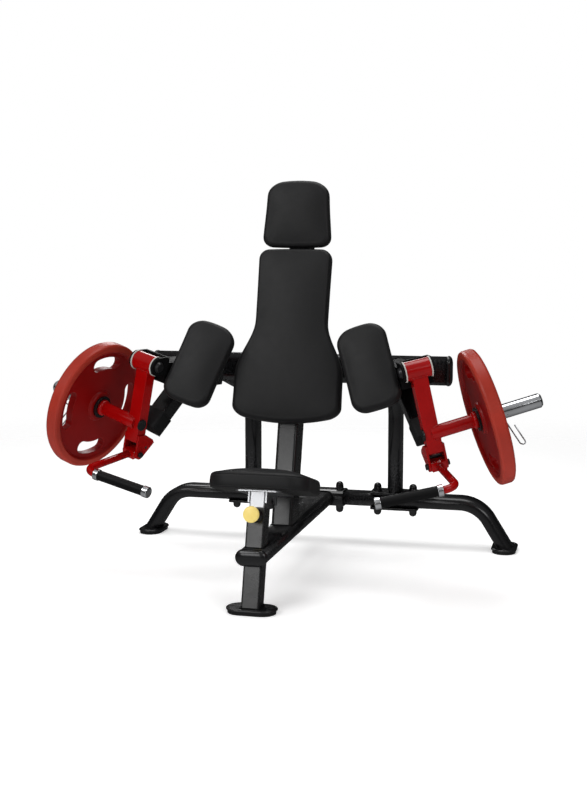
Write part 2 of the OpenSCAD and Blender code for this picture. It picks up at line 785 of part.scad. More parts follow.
module stop_cap() difference() {
    union() {
        stop_frame() translate([0, 0, -stop_len - stop_cap_floor]) linear_extrude(stop_cap_h)
            rounded(stop_w + 2 * stop_cap_wall, stop_w + 2 * stop_cap_wall, 9);
        translate([0, bumper_root, -bumper_z]) rotate([90, 0, 0])
            cylinder(d = bumper_d, h = bumper_root - lever_d / 2 - side_gap);
    }
    stop_solid();
}

module stop_caps() color("#0e0f10") placed() {
    arm_frame() stop_cap();
    mirrored() arm_frame() stop_cap();
}

module right_shaft() color("#8b8e92") placed() arm_frame() {
    disc_x(shaft_d, -cheek_x - cheek_t, cheek_x + cheek_t);
    for (s = [0, 1]) mirror([s, 0, 0]) translate([cheek_x + cheek_t, 0, 0]) rotate([0, 90, 0])
        cylinder(d1 = shaft_d + 13, d2 = shaft_d + 3, h = 9);
}

module left_shaft() mirrored() right_shaft();

// Arm cushions
module right_arm_plate() color("#191a1c") placed() {
    pad_frame() translate([0, arm_plate_t, 0]) rotate([90, 0, 0]) linear_extrude(arm_plate_t)
        rounded(arm_pad_w * 0.7, arm_pad_len * 0.78, 12);
    difference() {
        arm_frame() translate([bracket_x - bracket_w / 2 - arm_tie_w, bracket_back,
            bracket_top - bracket_h + 6])
            cube([arm_tie_w, arm_pad_len * 0.69, bracket_h - 20]);
        pad_frame() translate([-big / 2, arm_plate_t - big, -big / 2]) cube(big);
    }
}

module left_arm_plate() mirrored() right_arm_plate();

module right_arm_pad() color("#232427") placed() pad_frame() rotate([90, 0, 0])
    cushion(arm_pad_len, arm_pad_w, arm_pad_w, -arm_pad_len / 2, arm_pad_len / 2, arm_pad_corner, arm_pad_t,
        arm_pad_crown, 20);

module left_arm_pad() mirrored() right_arm_pad();

// Seat, on its sliding post
module seat_post() color("#c9ccd0") placed() column_frame() difference() {
    translate([0, 0, seat_s - post_len]) linear_extrude(post_len)
        square_wall(post_w, post_w, post_wall, 4);
    for (k = [1:post_holes]) translate([0, 0, pull_s - k * post_step]) rotate([90, 0, 0])
        cylinder(d = pull_d + 1, h = post_w);
}

module seat_plate() color("#c9ccd0") placed() column_frame() translate([0, 0, seat_s]) {
    translate([0, seat_back, 0]) linear_extrude(seat_plate_t) rounded(seat_w * 0.47, seat_d * 0.7, 14);
    difference() {
        for (s = [-1, 1]) translate([s * (post_w / 2 + ear_t / 2) - ear_t / 2, -post_w / 2, -ear_h])
            cube([ear_t, seat_d * 0.48, ear_h]);
        for (s = [-1, 1]) translate([s * (post_w / 2 + ear_t / 2), post_w / 2 + ear_h, -ear_h - 2])
            rotate([0, 90, 0]) translate([0, 0, -ear_t]) cylinder(r = ear_h - 4, h = 2 * ear_t);
    }
}

module seat_pad() color("#232427") placed() column_frame()
    translate([0, seat_back, seat_s + seat_plate_t])
    cushion(seat_d, seat_w, seat_w, -seat_d / 2, seat_d / 2, seat_corner, seat_t, seat_crown, 22);

// Pull pin
module pull_pin() color("#8b8e92") placed() column_frame() translate([0, -column_in / 2 - 0.4, pull_s])
    rotate([90, 0, 0]) cylinder(d = pull_d, h = (column_w - column_in) / 2 + pull_housing_l + side_gap - 0.4);

module pull_knob() color("#e8c81e") placed() column_frame()
    translate([0, -column_w / 2 - pull_housing_l - side_gap, pull_s]) rotate([90, 0, 0])
    rotate_extrude() polygon(concat([[0, 0], [knob_d / 2 - 10, 0]],
        [for (i = [0:8]) let (a = -60 + 18.75 * i)
            [knob_d / 2 - 7 + 7 * cos(a), knob_t / 2 + (knob_t / 2 - 3) * sin(a)]],
        [[0, knob_t]]));

// Curl arms
module right_lever() color("#a5161b") placed() arm_frame() difference() {
    union() {
        disc_x(housing_d, -housing_half, housing_half);
        translate([-lever_w / 2, -lever_d / 2, -lever_end]) cube([lever_w, lever_d, lever_end]);
        horn_frame() disc_x(root_d, 0, horn_start);
    }
    disc_x(shaft_bore, -housing_half - 1, housing_half + 1);
}

module left_lever() mirrored() right_lever();

module right_bushings() color("#d8d5cc") placed() arm_frame()
    for (s = [0, 1]) mirror([s, 0, 0]) difference() {
    disc_x(flange_d, housing_half, housing_half + flange_t);
    disc_x(shaft_bore, housing_half - 1, housing_half + flange_t + 1);
}

module left_bushings() mirrored() right_bushings();

module right_horn() color("#c9ccd0") placed() arm_frame() horn_frame() {
    disc_x(horn_d, plate_at, plate_at + horn_len);
    translate([plate_at + horn_len, 0, 0]) rotate([0, 90, 0]) cylinder(d1 = horn_d, d2 = horn_d - 12, h = 7);
}

module left_horn() mirrored() right_horn();

module right_horn_ends() color("#101113") placed() arm_frame() {
    horn_frame() disc_x(horn_flange_d, horn_start, plate_at);
    translate([0, -horn_fore, -horn_drop]) disc_x(root_d - 6, -lever_w / 2 - 5, -lever_w / 2);
}

module left_horn_ends() mirrored() right_horn_ends();

module clevis_cheek() difference() {
    union() {
        translate([lever_w / 2, 0, -hinge_drop]) rotate([90, 0, 90]) linear_extrude(clevis_t)
            polygon([[-lever_d / 2 + 2, hinge_room + clevis_lap], [-clevis_r, 0],
                [-clevis_r / 2, -clevis_r * 0.866], [clevis_r / 2, -clevis_r * 0.866],
                [clevis_r, -clevis_r / 2], [clevis_back, hinge_room - 6],
                [clevis_back - 8, hinge_room + 6], [lever_d / 2 - 2, hinge_room + clevis_lap]]);
        translate([0, 0, -hinge_drop]) disc_x(2 * clevis_r, lever_w / 2, lever_w / 2 + clevis_t);
    }
    translate([0, 0, -hinge_drop]) disc_x(hinge_d, lever_w / 2 - 1, lever_w / 2 + clevis_t + 1);
    translate([0, rest_pin_y, -hinge_drop + rest_pin_z])
        disc_x(rest_pin_d, lever_w / 2 - 1, lever_w / 2 + clevis_t + 1);
}

module right_clevis() color("#a5161b") placed() arm_frame() {
    clevis_cheek();
    mirrored() clevis_cheek();
}

module left_clevis() mirrored() right_clevis();

module right_hinge_pins() color("#8b8e92") placed() arm_frame() translate([0, 0, -hinge_drop]) {
    disc_x(hinge_d, -clevis_out, clevis_out);
    disc_x(hinge_d + 8, clevis_out, clevis_out + 8);
    disc_x(hinge_d + 8, -clevis_out - 8, -clevis_out);
    translate([0, rest_pin_y, rest_pin_z]) disc_x(rest_pin_d, -clevis_out, clevis_out);
}

module left_hinge_pins() mirrored() right_hinge_pins();

// Handles
module rod_end() translate([-rod_radius, -rod_len + rod_tangent, 0]) rotate(-rod_bend)
    translate([rod_radius, 0, 0]) rotate([90, 0, 0]) children();

function rod_path() = concat(
    [[0, -20, 0]],
    [for (i = [0:rod_steps]) let (a = -rod_bend * i / rod_steps)
        [-rod_radius + rod_radius * cos(a), -rod_len + rod_tangent + rod_radius * sin(a), 0]],
    [let (a = -rod_bend, k = grip_start + grip_len + grip_collar_t)
        [-rod_radius + rod_radius * cos(a) + k * sin(a),
         -rod_len + rod_tangent + rod_radius * sin(a) - k * cos(a), 0]]);

module right_rod() color("#a5161b") placed() arm_frame() hinge_frame() difference() {
    union() {
        disc_x(2 * tongue_r, -tongue_t / 2, tongue_t / 2);
        translate([-tongue_t / 2, 0, 0]) cube([tongue_t, tongue_tail, tongue_r]);
        translate([-tongue_t / 2, -24, -tongue_r]) cube([tongue_t, 24, 2 * tongue_r]);
        wire(rod_path(), rod_d, 20);
        rod_end() {
            translate([0, 0, grip_start - grip_collar_t]) cylinder(d = grip_collar_d, h = grip_collar_t);
            translate([0, 0, grip_start + grip_len]) cylinder(d = grip_collar_d, h = grip_collar_t + 1);
        }
    }
    disc_x(hinge_bore, -tongue_t, tongue_t);
}

module left_rod() mirrored() right_rod();

module right_grip() color("#17181a") placed() arm_frame() hinge_frame() rod_end()
    translate([0, 0, grip_start]) difference() {
        cylinder(d = grip_d, h = grip_len);
        translate([0, 0, -1]) cylinder(d = rod_d, h = grip_len + 2);
    }

module left_grip() mirrored() right_grip();

// Weight plates
module plate_profile() polygon([[ring_bore / 2, 0], [hub_d / 2 - 3, 0], [hub_d / 2, 3],
    [hub_d / 2 + 3, (plate_t - web_t) / 2], [plate_d / 2 - rim_w - 6, (plate_t - web_t) / 2],
    [plate_d / 2 - rim_w, 2], [plate_d / 2 - rim_w + 3, 0], [plate_d / 2 - 9, 0],
    [plate_d / 2 - 3, 3], [plate_d / 2, 9], [plate_d / 2, plate_t - 9], [plate_d / 2 - 3, plate_t - 3],
    [plate_d / 2 - 9, plate_t], [plate_d / 2 - rim_w + 3, plate_t], [plate_d / 2 - rim_w, plate_t - 2],
    [plate_d / 2 - rim_w - 6, (plate_t + web_t) / 2], [hub_d / 2 + 3, (plate_t + web_t) / 2],
    [hub_d / 2, plate_t - 3], [hub_d / 2 - 3, plate_t], [ring_bore / 2, plate_t]]);

module finger_slot() translate([0, 0, -1]) {
    rotate(-slot_half) rotate_extrude(angle = 2 * slot_half) translate([slot_r - slot_w / 2, 0])
        square([slot_w, plate_t + 2]);
    for (s = [-1, 1]) rotate(s * slot_half) translate([slot_r, 0, 0]) cylinder(d = slot_w, h = plate_t + 2);
}

module right_plate() color("#8a1114") placed() arm_frame() horn_frame() translate([plate_at + side_gap, 0, 0])
    rotate([0, 90, 0]) difference() {
        rotate_extrude($fn = 96) plate_profile();
        for (k = [0:3]) rotate(90 * k) finger_slot();
    }

module left_plate() mirrored() right_plate();

// Spring collar: one wire wound round the horn, both ends bent out as finger arms
function loop_arm(back) = concat(
    [[collar_r + 2 * collar_loop, back], [collar_r + 2 * collar_loop, collar_arm]],
    [for (i = [1:5])
        [collar_r + collar_loop + collar_loop * cos(36 * i), collar_arm + collar_loop * sin(36 * i)]],
    [[collar_r, collar_arm * 2 / 3], [collar_r, collar_arm / 3]]);

function coil_path() =
    let (n = collar_turn_rings, last = n * collar_step, arm = loop_arm(collar_arm / 2), k = len(arm))
    concat(
        [for (p = arm) [p[0], -p[1], 0]],
        [for (i = [0:n]) [collar_r * cos(i * collar_step), collar_r * sin(i * collar_step),
            collar_pitch * i * collar_step / 360]],
        [for (i = [k - 1:-1:0]) let (p = arm[i])
            [p[0] * cos(last) - p[1] * sin(last), p[0] * sin(last) + p[1] * cos(last),
             collar_pitch * last / 360]]);

function unit(v) = v / norm(v);

function wire_ring(p, a, b, d, m) = let (t = unit(b - a), u = unit(cross([0, 0, 1], t)), w = cross(t, u))
    [for (k = [0:m - 1]) let (g = 360 * k / m) p + d / 2 * (u * cos(g) + w * sin(g))];

module wire(path, d, m) {
    n = len(path);
    rings = [for (i = [0:n - 1]) wire_ring(path[i], path[max(i - 1, 0)], path[min(i + 1, n - 1)], d, m)];
    pts = concat([for (r = rings) for (p = r) p], [path[0], path[n - 1]]);
    polyhedron(pts, concat(
        [for (k = [0:m - 1]) [n * m, k, (k + 1) % m]],
        [for (i = [0:n - 2]) for (k = [0:m - 1]) [i * m + k, (i + 1) * m + k, (i + 1) * m + (k + 1) % m]],
        [for (i = [0:n - 2]) for (k = [0:m - 1]) [i * m + k, (i + 1) * m + (k + 1) % m, i * m + (k + 1) % m]],
        [for (k = [0:m - 1]) [n * m + 1, (n - 1) * m + (k + 1) % m, (n - 1) * m + k]]));
}

// Least gap of the wire to itself, measured between points half a turn or more apart
coil = coil_path();
far = round(180 / collar_step);
least_gap = min([for (i = [0:len(coil) - 1 - far]) for (j = [i + far:len(coil) - 1])
    norm(coil[i] - coil[j]) - wire_d]);
echo(least_wire_gap = least_gap);

module right_collar() color("#b9bcc0") placed() arm_frame() horn_frame()
    translate([plate_at + 2 * side_gap + plate_t + wire_d / 2, 0, 0]) rotate([0, 90, 0]) rotate(collar_spin)
    wire(coil, wire_d, wire_sides);

module left_collar() mirrored() right_collar();

main_beam();
beam_cap();
seat_column();
pull_housing();
cross_sleeve();
left_leg();
right_leg();
front_foot();
left_foot();
right_foot();
foot_pads();
centre_upright();
upright_cap();
back_plates();
back_pad();
head_pad();
left_upright();
right_upright();
upright_bases();
frame_bolts();
bolt_caps();
crossbar();
crossbar_caps();
left_bracket();
right_bracket();
left_stop_post();
right_stop_post();
stop_caps();
left_shaft();
right_shaft();
left_arm_plate();
right_arm_plate();
left_arm_pad();
right_arm_pad();
seat_post();
seat_plate();
seat_pad();
pull_pin();
pull_knob();
left_lever();
right_lever();
left_bushings();
right_bushings();
left_horn();
right_horn();
left_horn_ends();
right_horn_ends();
left_clevis();
right_clevis();
left_hinge_pins();
right_hinge_pins();
left_rod();
right_rod();
left_grip();
right_grip();
left_plate();
right_plate();
left_collar();
right_collar();
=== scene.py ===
# Plate-loaded biceps curl machine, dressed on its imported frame.
# Metres, +Z up, the seat faces -Y.
import math

import bmesh
import bpy
from mathutils import Euler, Matrix, Vector
from mathutils.bvhtree import BVHTree


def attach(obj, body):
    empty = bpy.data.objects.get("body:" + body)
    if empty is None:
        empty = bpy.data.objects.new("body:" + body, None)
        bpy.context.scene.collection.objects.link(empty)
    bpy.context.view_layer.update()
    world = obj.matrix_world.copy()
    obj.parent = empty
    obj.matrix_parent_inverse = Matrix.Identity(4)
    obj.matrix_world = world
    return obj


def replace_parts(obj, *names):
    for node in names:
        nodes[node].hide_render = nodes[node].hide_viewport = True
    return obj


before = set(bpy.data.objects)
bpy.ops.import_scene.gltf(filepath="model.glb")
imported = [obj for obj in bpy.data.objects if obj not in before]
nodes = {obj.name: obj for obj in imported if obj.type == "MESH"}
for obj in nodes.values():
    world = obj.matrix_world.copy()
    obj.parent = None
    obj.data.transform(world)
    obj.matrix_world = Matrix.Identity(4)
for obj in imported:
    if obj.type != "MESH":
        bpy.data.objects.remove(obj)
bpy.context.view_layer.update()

# Camera, floor and light. The photograph is a studio shot on white, taken from a little right of
# the middle at chest height, so the floor fades into a white room that is lit softly from above and
# gives brighter reflections in front than behind.
camera = bpy.data.objects.new("photo_camera", bpy.data.cameras.new("photo_camera"))
camera.location = (1.05978, -4.22367, 1.13430)
camera.rotation_euler = (math.radians(90 - 6.9391), 0, math.radians(14.0506))
camera.data.sensor_width = 36
camera.data.lens = 57.2275
bpy.context.scene.collection.objects.link(camera)
bpy.context.scene.camera = camera
bpy.context.scene.view_settings.view_transform = "Standard"


def shader(name):
    """A new material, its node tree and its Principled shader."""
    material = bpy.data.materials.new(name)
    material.use_nodes = True
    tree = material.node_tree
    return material, tree, tree.nodes["Principled BSDF"]


def add(tree, kind, **values):
    """A new node, with its settings and its constant inputs."""
    made = tree.nodes.new(kind)
    for key, value in values.items():
        if key in made.inputs:
            made.inputs[key].default_value = value
        else:
            setattr(made, key, value)
    return made


def ranged(tree, low, high, to_low=0.0, to_high=1.0, **values):
    """A node that maps one range of values on to another."""
    ends = {"From Min": low, "From Max": high, "To Min": to_low, "To Max": to_high}
    return add(tree, "ShaderNodeMapRange", **values, **ends)


def link(tree, pairs):
    """Joins each output to its input."""
    for a, b in pairs:
        tree.links.new(a, b)


floor_mesh = bpy.data.meshes.new("floor")
floor = bpy.data.objects.new("floor", floor_mesh)
bpy.context.scene.collection.objects.link(floor)
disc = bmesh.new()
bmesh.ops.create_circle(disc, cap_ends=True, segments=96, radius=7.0)
disc.to_mesh(floor_mesh)
disc.free()
floor.visible_glossy = False

floor_paint, tree, surface = shader("floor_paint")
surface.inputs["Base Color"].default_value = (0.88, 0.88, 0.88, 1)
surface.inputs["Roughness"].default_value = 0.7
surface.inputs["Emission Color"].default_value = (1, 1, 1, 1)
surface.inputs["Emission Strength"].default_value = 0.45
place = add(tree, "ShaderNodeTexCoord")
far = add(tree, "ShaderNodeVectorMath", operation="LENGTH")
fade = ranged(tree, 1.4, 4.5, interpolation_type="SMOOTHSTEP")
clear = add(tree, "ShaderNodeBsdfTransparent")
blend = add(tree, "ShaderNodeMixShader")
link(tree, [
    (place.outputs["Object"], far.inputs[0]),
    (far.outputs["Value"], fade.inputs["Value"]),
    (fade.outputs["Result"], blend.inputs["Fac"]),
    (surface.outputs["BSDF"], blend.inputs[1]),
    (clear.outputs["BSDF"], blend.inputs[2]),
    (blend.outputs["Shader"], tree.nodes["Material Output"].inputs["Surface"]),
])
floor_mesh.materials.append(floor_paint)

room = bpy.data.worlds.new("studio")
bpy.context.scene.world = room
room.use_nodes = True
tree = room.node_tree
sky = tree.nodes["Background"]
seen = add(tree, "ShaderNodeBackground", Color=(1, 1, 1, 1), Strength=1.0)
place = add(tree, "ShaderNodeTexCoord")
parts = add(tree, "ShaderNodeSeparateXYZ")
ramp = add(tree, "ShaderNodeValToRGB")
ramp.color_ramp.elements[0].color = (0.85, 0.85, 0.86, 1)
ramp.color_ramp.elements[1].color = (1.0, 1.0, 1.0, 1)
for stop, grey in [(0.46, 0.42), (0.50, 0.05), (0.58, 0.06), (0.68, 0.35)]:
    ramp.color_ramp.elements.new(stop).color = (grey, grey, grey, 1)
height = ranged(tree, -1, 1)
depth = ranged(tree, -1, 1, 0.64, 0.08)
path = add(tree, "ShaderNodeLightPath")
blend = add(tree, "ShaderNodeMixShader")
link(tree, [
    (place.outputs["Generated"], parts.inputs["Vector"]),
    (parts.outputs["Z"], height.inputs["Value"]),
    (height.outputs["Result"], ramp.inputs["Fac"]),
    (ramp.outputs["Color"], sky.inputs["Color"]),
    (parts.outputs["Y"], depth.inputs["Value"]),
    (depth.outputs["Result"], sky.inputs["Strength"]),
    (path.outputs["Is Camera Ray"], blend.inputs["Fac"]),
    (sky.outputs["Background"], blend.inputs[1]),
    (seen.outputs["Background"], blend.inputs[2]),
    (blend.outputs["Shader"], tree.nodes["World Output"].inputs["Surface"]),
])

for name, at, aim, size, power in [
    ("key_softbox", (-1.9, -2.9, 3.0), (0, -0.1, 0.7), 1.9, 50),
    ("fill_softbox", (2.9, -2.6, 2.2), (0.2, -0.1, 0.7), 1.7, 26),
    ("top_softbox", (0.1, 0.4, 3.6), (0, -0.1, 0.6), 2.4, 55),
    ("back_softbox", (-1.2, 3.2, 2.4), (0, 0, 0.7), 1.6, 30),
    ("front_card", (-1.2, -4.6, 1.55), (0, -0.5, 0.3), 1.7, 26),
]:
    lamp = bpy.data.objects.new(name, bpy.data.lights.new(name, "AREA"))
    lamp.data.shape = "RECTANGLE"
    lamp.data.size = size
    lamp.data.size_y = size * 0.7
    lamp.data.energy = power
    lamp.location = at
    lamp.rotation_euler = (Vector(aim) - Vector(at)).to_track_quat("-Z", "Y").to_euler()
    bpy.context.scene.collection.objects.link(lamp)


# Base frame: flat-oval steel tubes, bent, welded and bolted together, then powder coated in satin
# black. The coat has a fine orange-peel skin, soft tube edges and a faint bloom of handling dust.
def node_group(name, inputs):
    """A new node group with these inputs, which gives out a colour, a roughness and a normal."""
    group = bpy.data.node_groups.new(name, "ShaderNodeTree")
    for label, kind, value in inputs:
        group.interface.new_socket(label, in_out="INPUT", socket_type=kind).default_value = value
    group.interface.new_socket("Colour", in_out="OUTPUT", socket_type="NodeSocketColor")
    group.interface.new_socket("Roughness", in_out="OUTPUT", socket_type="NodeSocketFloat")
    group.interface.new_socket("Normal", in_out="OUTPUT", socket_type="NodeSocketVector")
    return group, add(group, "NodeGroupInput"), add(group, "NodeGroupOutput")


coat, inside, outside = node_group("coat_finish", [
    ("Colour", "NodeSocketColor", (0.02, 0.02, 0.02, 1)),
    ("Edge Colour", "NodeSocketColor", (0.1, 0.1, 0.1, 1)),
    ("Edge Amount", "NodeSocketFloat", 0.3),
    ("Roughness", "NodeSocketFloat", 0.35),
    ("Peel Scale", "NodeSocketFloat", 650.0),
    ("Peel Height", "NodeSocketFloat", 0.12),
    ("Edge Radius", "NodeSocketFloat", 0.003),
])
place = add(coat, "ShaderNodeTexCoord")
peel = add(coat, "ShaderNodeTexNoise", Detail=2.0, Roughness=0.5)
cloud = add(coat, "ShaderNodeTexNoise", Scale=7.0, Detail=4.0, Roughness=0.6)
speck = add(coat, "ShaderNodeTexNoise", Scale=160.0, Detail=3.0, Roughness=0.7)
soft = add(coat, "ShaderNodeBevel", samples=6)
facing = add(coat, "ShaderNodeNewGeometry")
turn_away = add(coat, "ShaderNodeVectorMath", operation="DOT_PRODUCT")
edge = ranged(coat, 0.985, 0.86)
worn = add(coat, "ShaderNodeMath", operation="MULTIPLY")
patchy = add(coat, "ShaderNodeMath", operation="MULTIPLY")
patch = ranged(coat, 0.42, 0.66)
shade = add(coat, "ShaderNodeHueSaturation")
tone = ranged(coat, 0.3, 0.7, 0.86, 1.14)
mix = add(coat, "ShaderNodeMix", data_type="RGBA")
gloss = ranged(coat, 0.3, 0.7, -0.05, 0.07)
rough = add(coat, "ShaderNodeMath", operation="ADD", use_clamp=True)
bump = add(coat, "ShaderNodeBump", Distance=0.0004)
link(coat, [
    (place.outputs["Object"], peel.inputs["Vector"]),
    (place.outputs["Object"], cloud.inputs["Vector"]),
    (place.outputs["Object"], speck.inputs["Vector"]),
    (inside.outputs["Peel Scale"], peel.inputs["Scale"]),
    (inside.outputs["Edge Radius"], soft.inputs["Radius"]),
    (soft.outputs["Normal"], turn_away.inputs[0]),
    (facing.outputs["True Normal"], turn_away.inputs[1]),
    (turn_away.outputs["Value"], edge.inputs["Value"]),
    (speck.outputs["Fac"], patch.inputs["Value"]),
    (edge.outputs["Result"], worn.inputs[0]),
    (patch.outputs["Result"], worn.inputs[1]),
    (worn.outputs["Value"], patchy.inputs[0]),
    (inside.outputs["Edge Amount"], patchy.inputs[1]),
    (cloud.outputs["Fac"], tone.inputs["Value"]),
    (inside.outputs["Colour"], shade.inputs["Color"]),
    (tone.outputs["Result"], shade.inputs["Value"]),
    (patchy.outputs["Value"], mix.inputs["Factor"]),
    (shade.outputs["Color"], mix.inputs[6]),
    (inside.outputs["Edge Colour"], mix.inputs[7]),
    (mix.outputs[2], outside.inputs["Colour"]),
    (cloud.outputs["Fac"], gloss.inputs["Value"]),
    (inside.outputs["Roughness"], rough.inputs[0]),
    (gloss.outputs["Result"], rough.inputs[1]),
    (rough.outputs["Value"], outside.inputs["Roughness"]),
    (peel.outputs["Fac"], bump.inputs["Height"]),
    (inside.outputs["Peel Height"], bump.inputs["Strength"]),
    (soft.outputs["Normal"], bump.inputs["Normal"]),
    (bump.outputs["Normal"], outside.inputs["Normal"]),
])


def coated(name, colour, edge_colour, edge, roughness, peel, height, radius,
           metal=0.0, clear=0.0, shine=0.5):
    """A material finished with the coat group, its own values set on the group's inputs."""
    material, tree, surface = shader(name)
    finish = add(tree, "ShaderNodeGroup", node_tree=coat)
    finish.inputs["Colour"].default_value = (*colour, 1)
    finish.inputs["Edge Colour"].default_value = (*edge_colour, 1)
    finish.inputs["Edge Amount"].default_value = edge
    finish.inputs["Roughness"].default_value = roughness
    finish.inputs["Peel Scale"].default_value = peel
    finish.inputs["Peel Height"].default_value = height
    finish.inputs["Edge Radius"].default_value = radius
    surface.inputs["Metallic"].default_value = metal
    surface.inputs["Specular IOR Level"].default_value = shine
    surface.inputs["Coat Weight"].default_value = clear
    surface.inputs["Coat Roughness"].default_value = 0.06
    link(tree, [
        (finish.outputs["Colour"], surface.inputs["Base Color"]),
        (finish.outputs["Roughness"], surface.inputs["Roughness"]),
        (finish.outputs["Normal"], surface.inputs["Normal"]),
    ])
    return material


def paint(material, *names):
    """Puts a material on CAD nodes, in place of the plain one that they came with."""
    for name in names:
        nodes[name].data.materials.clear()
        nodes[name].data.materials.append(material)


black_coat = coated("black_powder_coat", (0.005, 0.005, 0.0056), (0.07, 0.07, 0.074), edge=0.30,
                    roughness=0.21, peel=620, height=0.08, radius=0.005, shine=0.42)
paint(black_coat, "main_beam", "cross_sleeve", "left_leg", "right_leg", "front_foot", "left_foot",
      "right_foot", "left_upright", "right_upright", "upright_bases", "crossbar", "left_stop_post",
      "right_stop_post", "left_arm_plate", "right_arm_plate", "back_plates")
# The column and the centre upright take a lighter copy of the black coat. This is a painted reflection of the
# front light on their forward-leaning faces, which are the same black steel as the rest of the frame.
column_coat_painted_lighter = coated("black_coat_painted_lighter", (0.009, 0.009, 0.0095), (0.10, 0.10, 0.105), edge=0.35,
                     roughness=0.24, peel=620, height=0.10, radius=0.003)
paint(column_coat_painted_lighter, "seat_column", "centre_upright")

# Rubber feet and stops: matte black moulded rubber under the foot plates and on the stop posts,
# dusty grey on the corners where they rub.
rubber = coated("foot_rubber", (0.006, 0.006, 0.0065), (0.05, 0.048, 0.046), edge=0.4,
                roughness=0.68, peel=900, height=0.5, radius=0.002, shine=0.3)
paint(rubber, "foot_pads", "stop_caps")

# Frame tubes: the rear legs and side uprights are flat-oval steel tube, bent cold round a former,
# and the crossbar and main beam are straight lengths of it. All are welded into the coated frame.
FROM_REAR = 0.4875
BEAM_LENGTH, BEAM_Z = 1.010, 0.174
TUBE_W, TUBE_H = 0.100, 0.050
LEG_REACH, LEG_BEND, LEG_ANGLE = 0.695, 0.125, math.radians(58)
FOOT_TOP = 0.018
UPRIGHT_X, UPRIGHT_BEND, UPRIGHT_ANGLE = 0.280, 0.150, math.radians(75)
BAR_AHEAD, BAR_Z, BAR_END = 0.395, 0.708, 0.521
LEAN = math.radians(15)


def turned(a, b, c):
    """A turn about x, then y, then z, in degrees."""
    return Euler((math.radians(a), math.radians(b), math.radians(c)), "XYZ").to_matrix().to_4x4()


def moved(x, y, z):
    """A shift."""
    return Matrix.Translation((x, y, z))


def oval_ring(w, h, count=48):
    """Points round a flat oval, wide along the first axis."""
    ring = []
    for i in range(count):
        a = 2 * math.pi * i / count
        shift = (w - h) / 2 * (1 if math.cos(a) > 0 else -1)
        ring.append((shift + h / 2 * math.cos(a), h / 2 * math.sin(a)))
    return ring


def loft(work, rings, capped=True):
    """Joins a row of rings into one skin, with a flat face on each end."""
    for a, b in zip(rings, rings[1:]):
        for k in range(len(a)):
            j = (k + 1) % len(a)
            work.faces.new((a[k], a[j], b[j], b[k]))
    if capped:
        work.faces.new(rings[0][::-1])
        work.faces.new(rings[-1])


def piece(name, work, body, material, smooth=True):
    """Turns finished mesh work into an object that rides on a body."""
    bmesh.ops.recalc_face_normals(work, faces=work.faces)
    mesh = bpy.data.meshes.new(name)
    work.to_mesh(mesh)
    work.free()
    for face in mesh.polygons:
        face.use_smooth = smooth
    mesh.materials.append(material)
    made = bpy.data.objects.new(name, mesh)
    bpy.context.scene.collection.objects.link(made)
    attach(made, body)
    return made


def bent_tube(name, line, ways, across, w, h, node, cut=None):
    """Sweeps a flat-oval tube along its bent line in place of the node; w lies along the bend's axis."""
    work = bmesh.new()
    section = oval_ring(w, h, 56) if w > h else [(-y, x) for x, y in oval_ring(h, w, 56)]
    loft(work, [[work.verts.new(p + across * x + across.cross(t) * y) for x, y in section]
                for p, t in zip(line, ways)])
    if cut is not None:
        bmesh.ops.bisect_plane(work, geom=work.verts[:] + work.edges[:] + work.faces[:],
                               plane_co=(0, 0, cut), plane_no=(0, 0, -1), clear_outer=True)
    made = piece(name, work, "frame", black_coat)
    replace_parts(made, node)


mirror = Matrix.Scale(-1, 4, (1, 0, 0))
SIDES = (("right", Matrix.Identity(4)), ("left", mirror))
front_y, bar_y = FROM_REAR - BEAM_LENGTH, FROM_REAR - BAR_AHEAD
leg_top = LEG_REACH - (BEAM_Z - FOOT_TOP) / math.tan(LEG_ANGLE)
upright_top = BAR_Z - BAR_AHEAD * math.tan(LEAN)
corner = leg_top - LEG_BEND * math.tan(LEG_ANGLE / 2)
knee = upright_top - UPRIGHT_BEND * math.tan(UPRIGHT_ANGLE / 2)
upright_run = BAR_AHEAD / math.cos(LEAN) - UPRIGHT_BEND * math.tan(UPRIGHT_ANGLE / 2) - 0.012
for side, s in (("right", 1), ("left", -1)):
    turns = [LEG_ANGLE * i / 24 for i in range(25)]
    line = [Vector((s * 0.004, FROM_REAR, BEAM_Z))]
    line += [Vector((s * (corner + LEG_BEND * math.sin(a)), FROM_REAR, BEAM_Z - LEG_BEND * (1 - math.cos(a))))
             for a in turns]
    ways = [Vector((s * math.cos(a), 0, -math.sin(a))) for a in [0] + turns + [LEG_ANGLE]]
    line.append(line[-1] + ways[-1] * 0.19)
    bent_tube(side + "_leg_tube", line, ways, Vector((0, 1, 0)), TUBE_W, TUBE_H, side + "_leg",
              cut=FOOT_TOP - 0.0001)
    turns = [UPRIGHT_ANGLE * i / 28 for i in range(29)]
    line = [Vector((s * UPRIGHT_X, FROM_REAR, 0.207))]
    line += [Vector((s * UPRIGHT_X, FROM_REAR - UPRIGHT_BEND * (1 - math.cos(a)),
                     knee + UPRIGHT_BEND * math.sin(a))) for a in turns]
    ways = [Vector((0, -math.sin(a), math.cos(a))) for a in [0] + turns + [UPRIGHT_ANGLE]]
    line.append(line[-1] + ways[-1] * upright_run)
    bent_tube(side + "_upright_tube", line, ways, Vector((1, 0, 0)), TUBE_H, TUBE_W, side + "_upright")
bent_tube("crossbar_tube", [Vector((-BAR_END, bar_y, BAR_Z)), Vector((BAR_END, bar_y, BAR_Z))],
          [Vector((1, 0, 0))] * 2, Vector((0, 0, 1)), TUBE_W, TUBE_H, "crossbar")
bent_tube("main_beam_tube", [Vector((0, front_y, BEAM_Z)), Vector((0, FROM_REAR - 0.05, BEAM_Z))],
          [Vector((0, 1, 0))] * 2, Vector((1, 0, 0)), TUBE_W, TUBE_H, "main_beam")


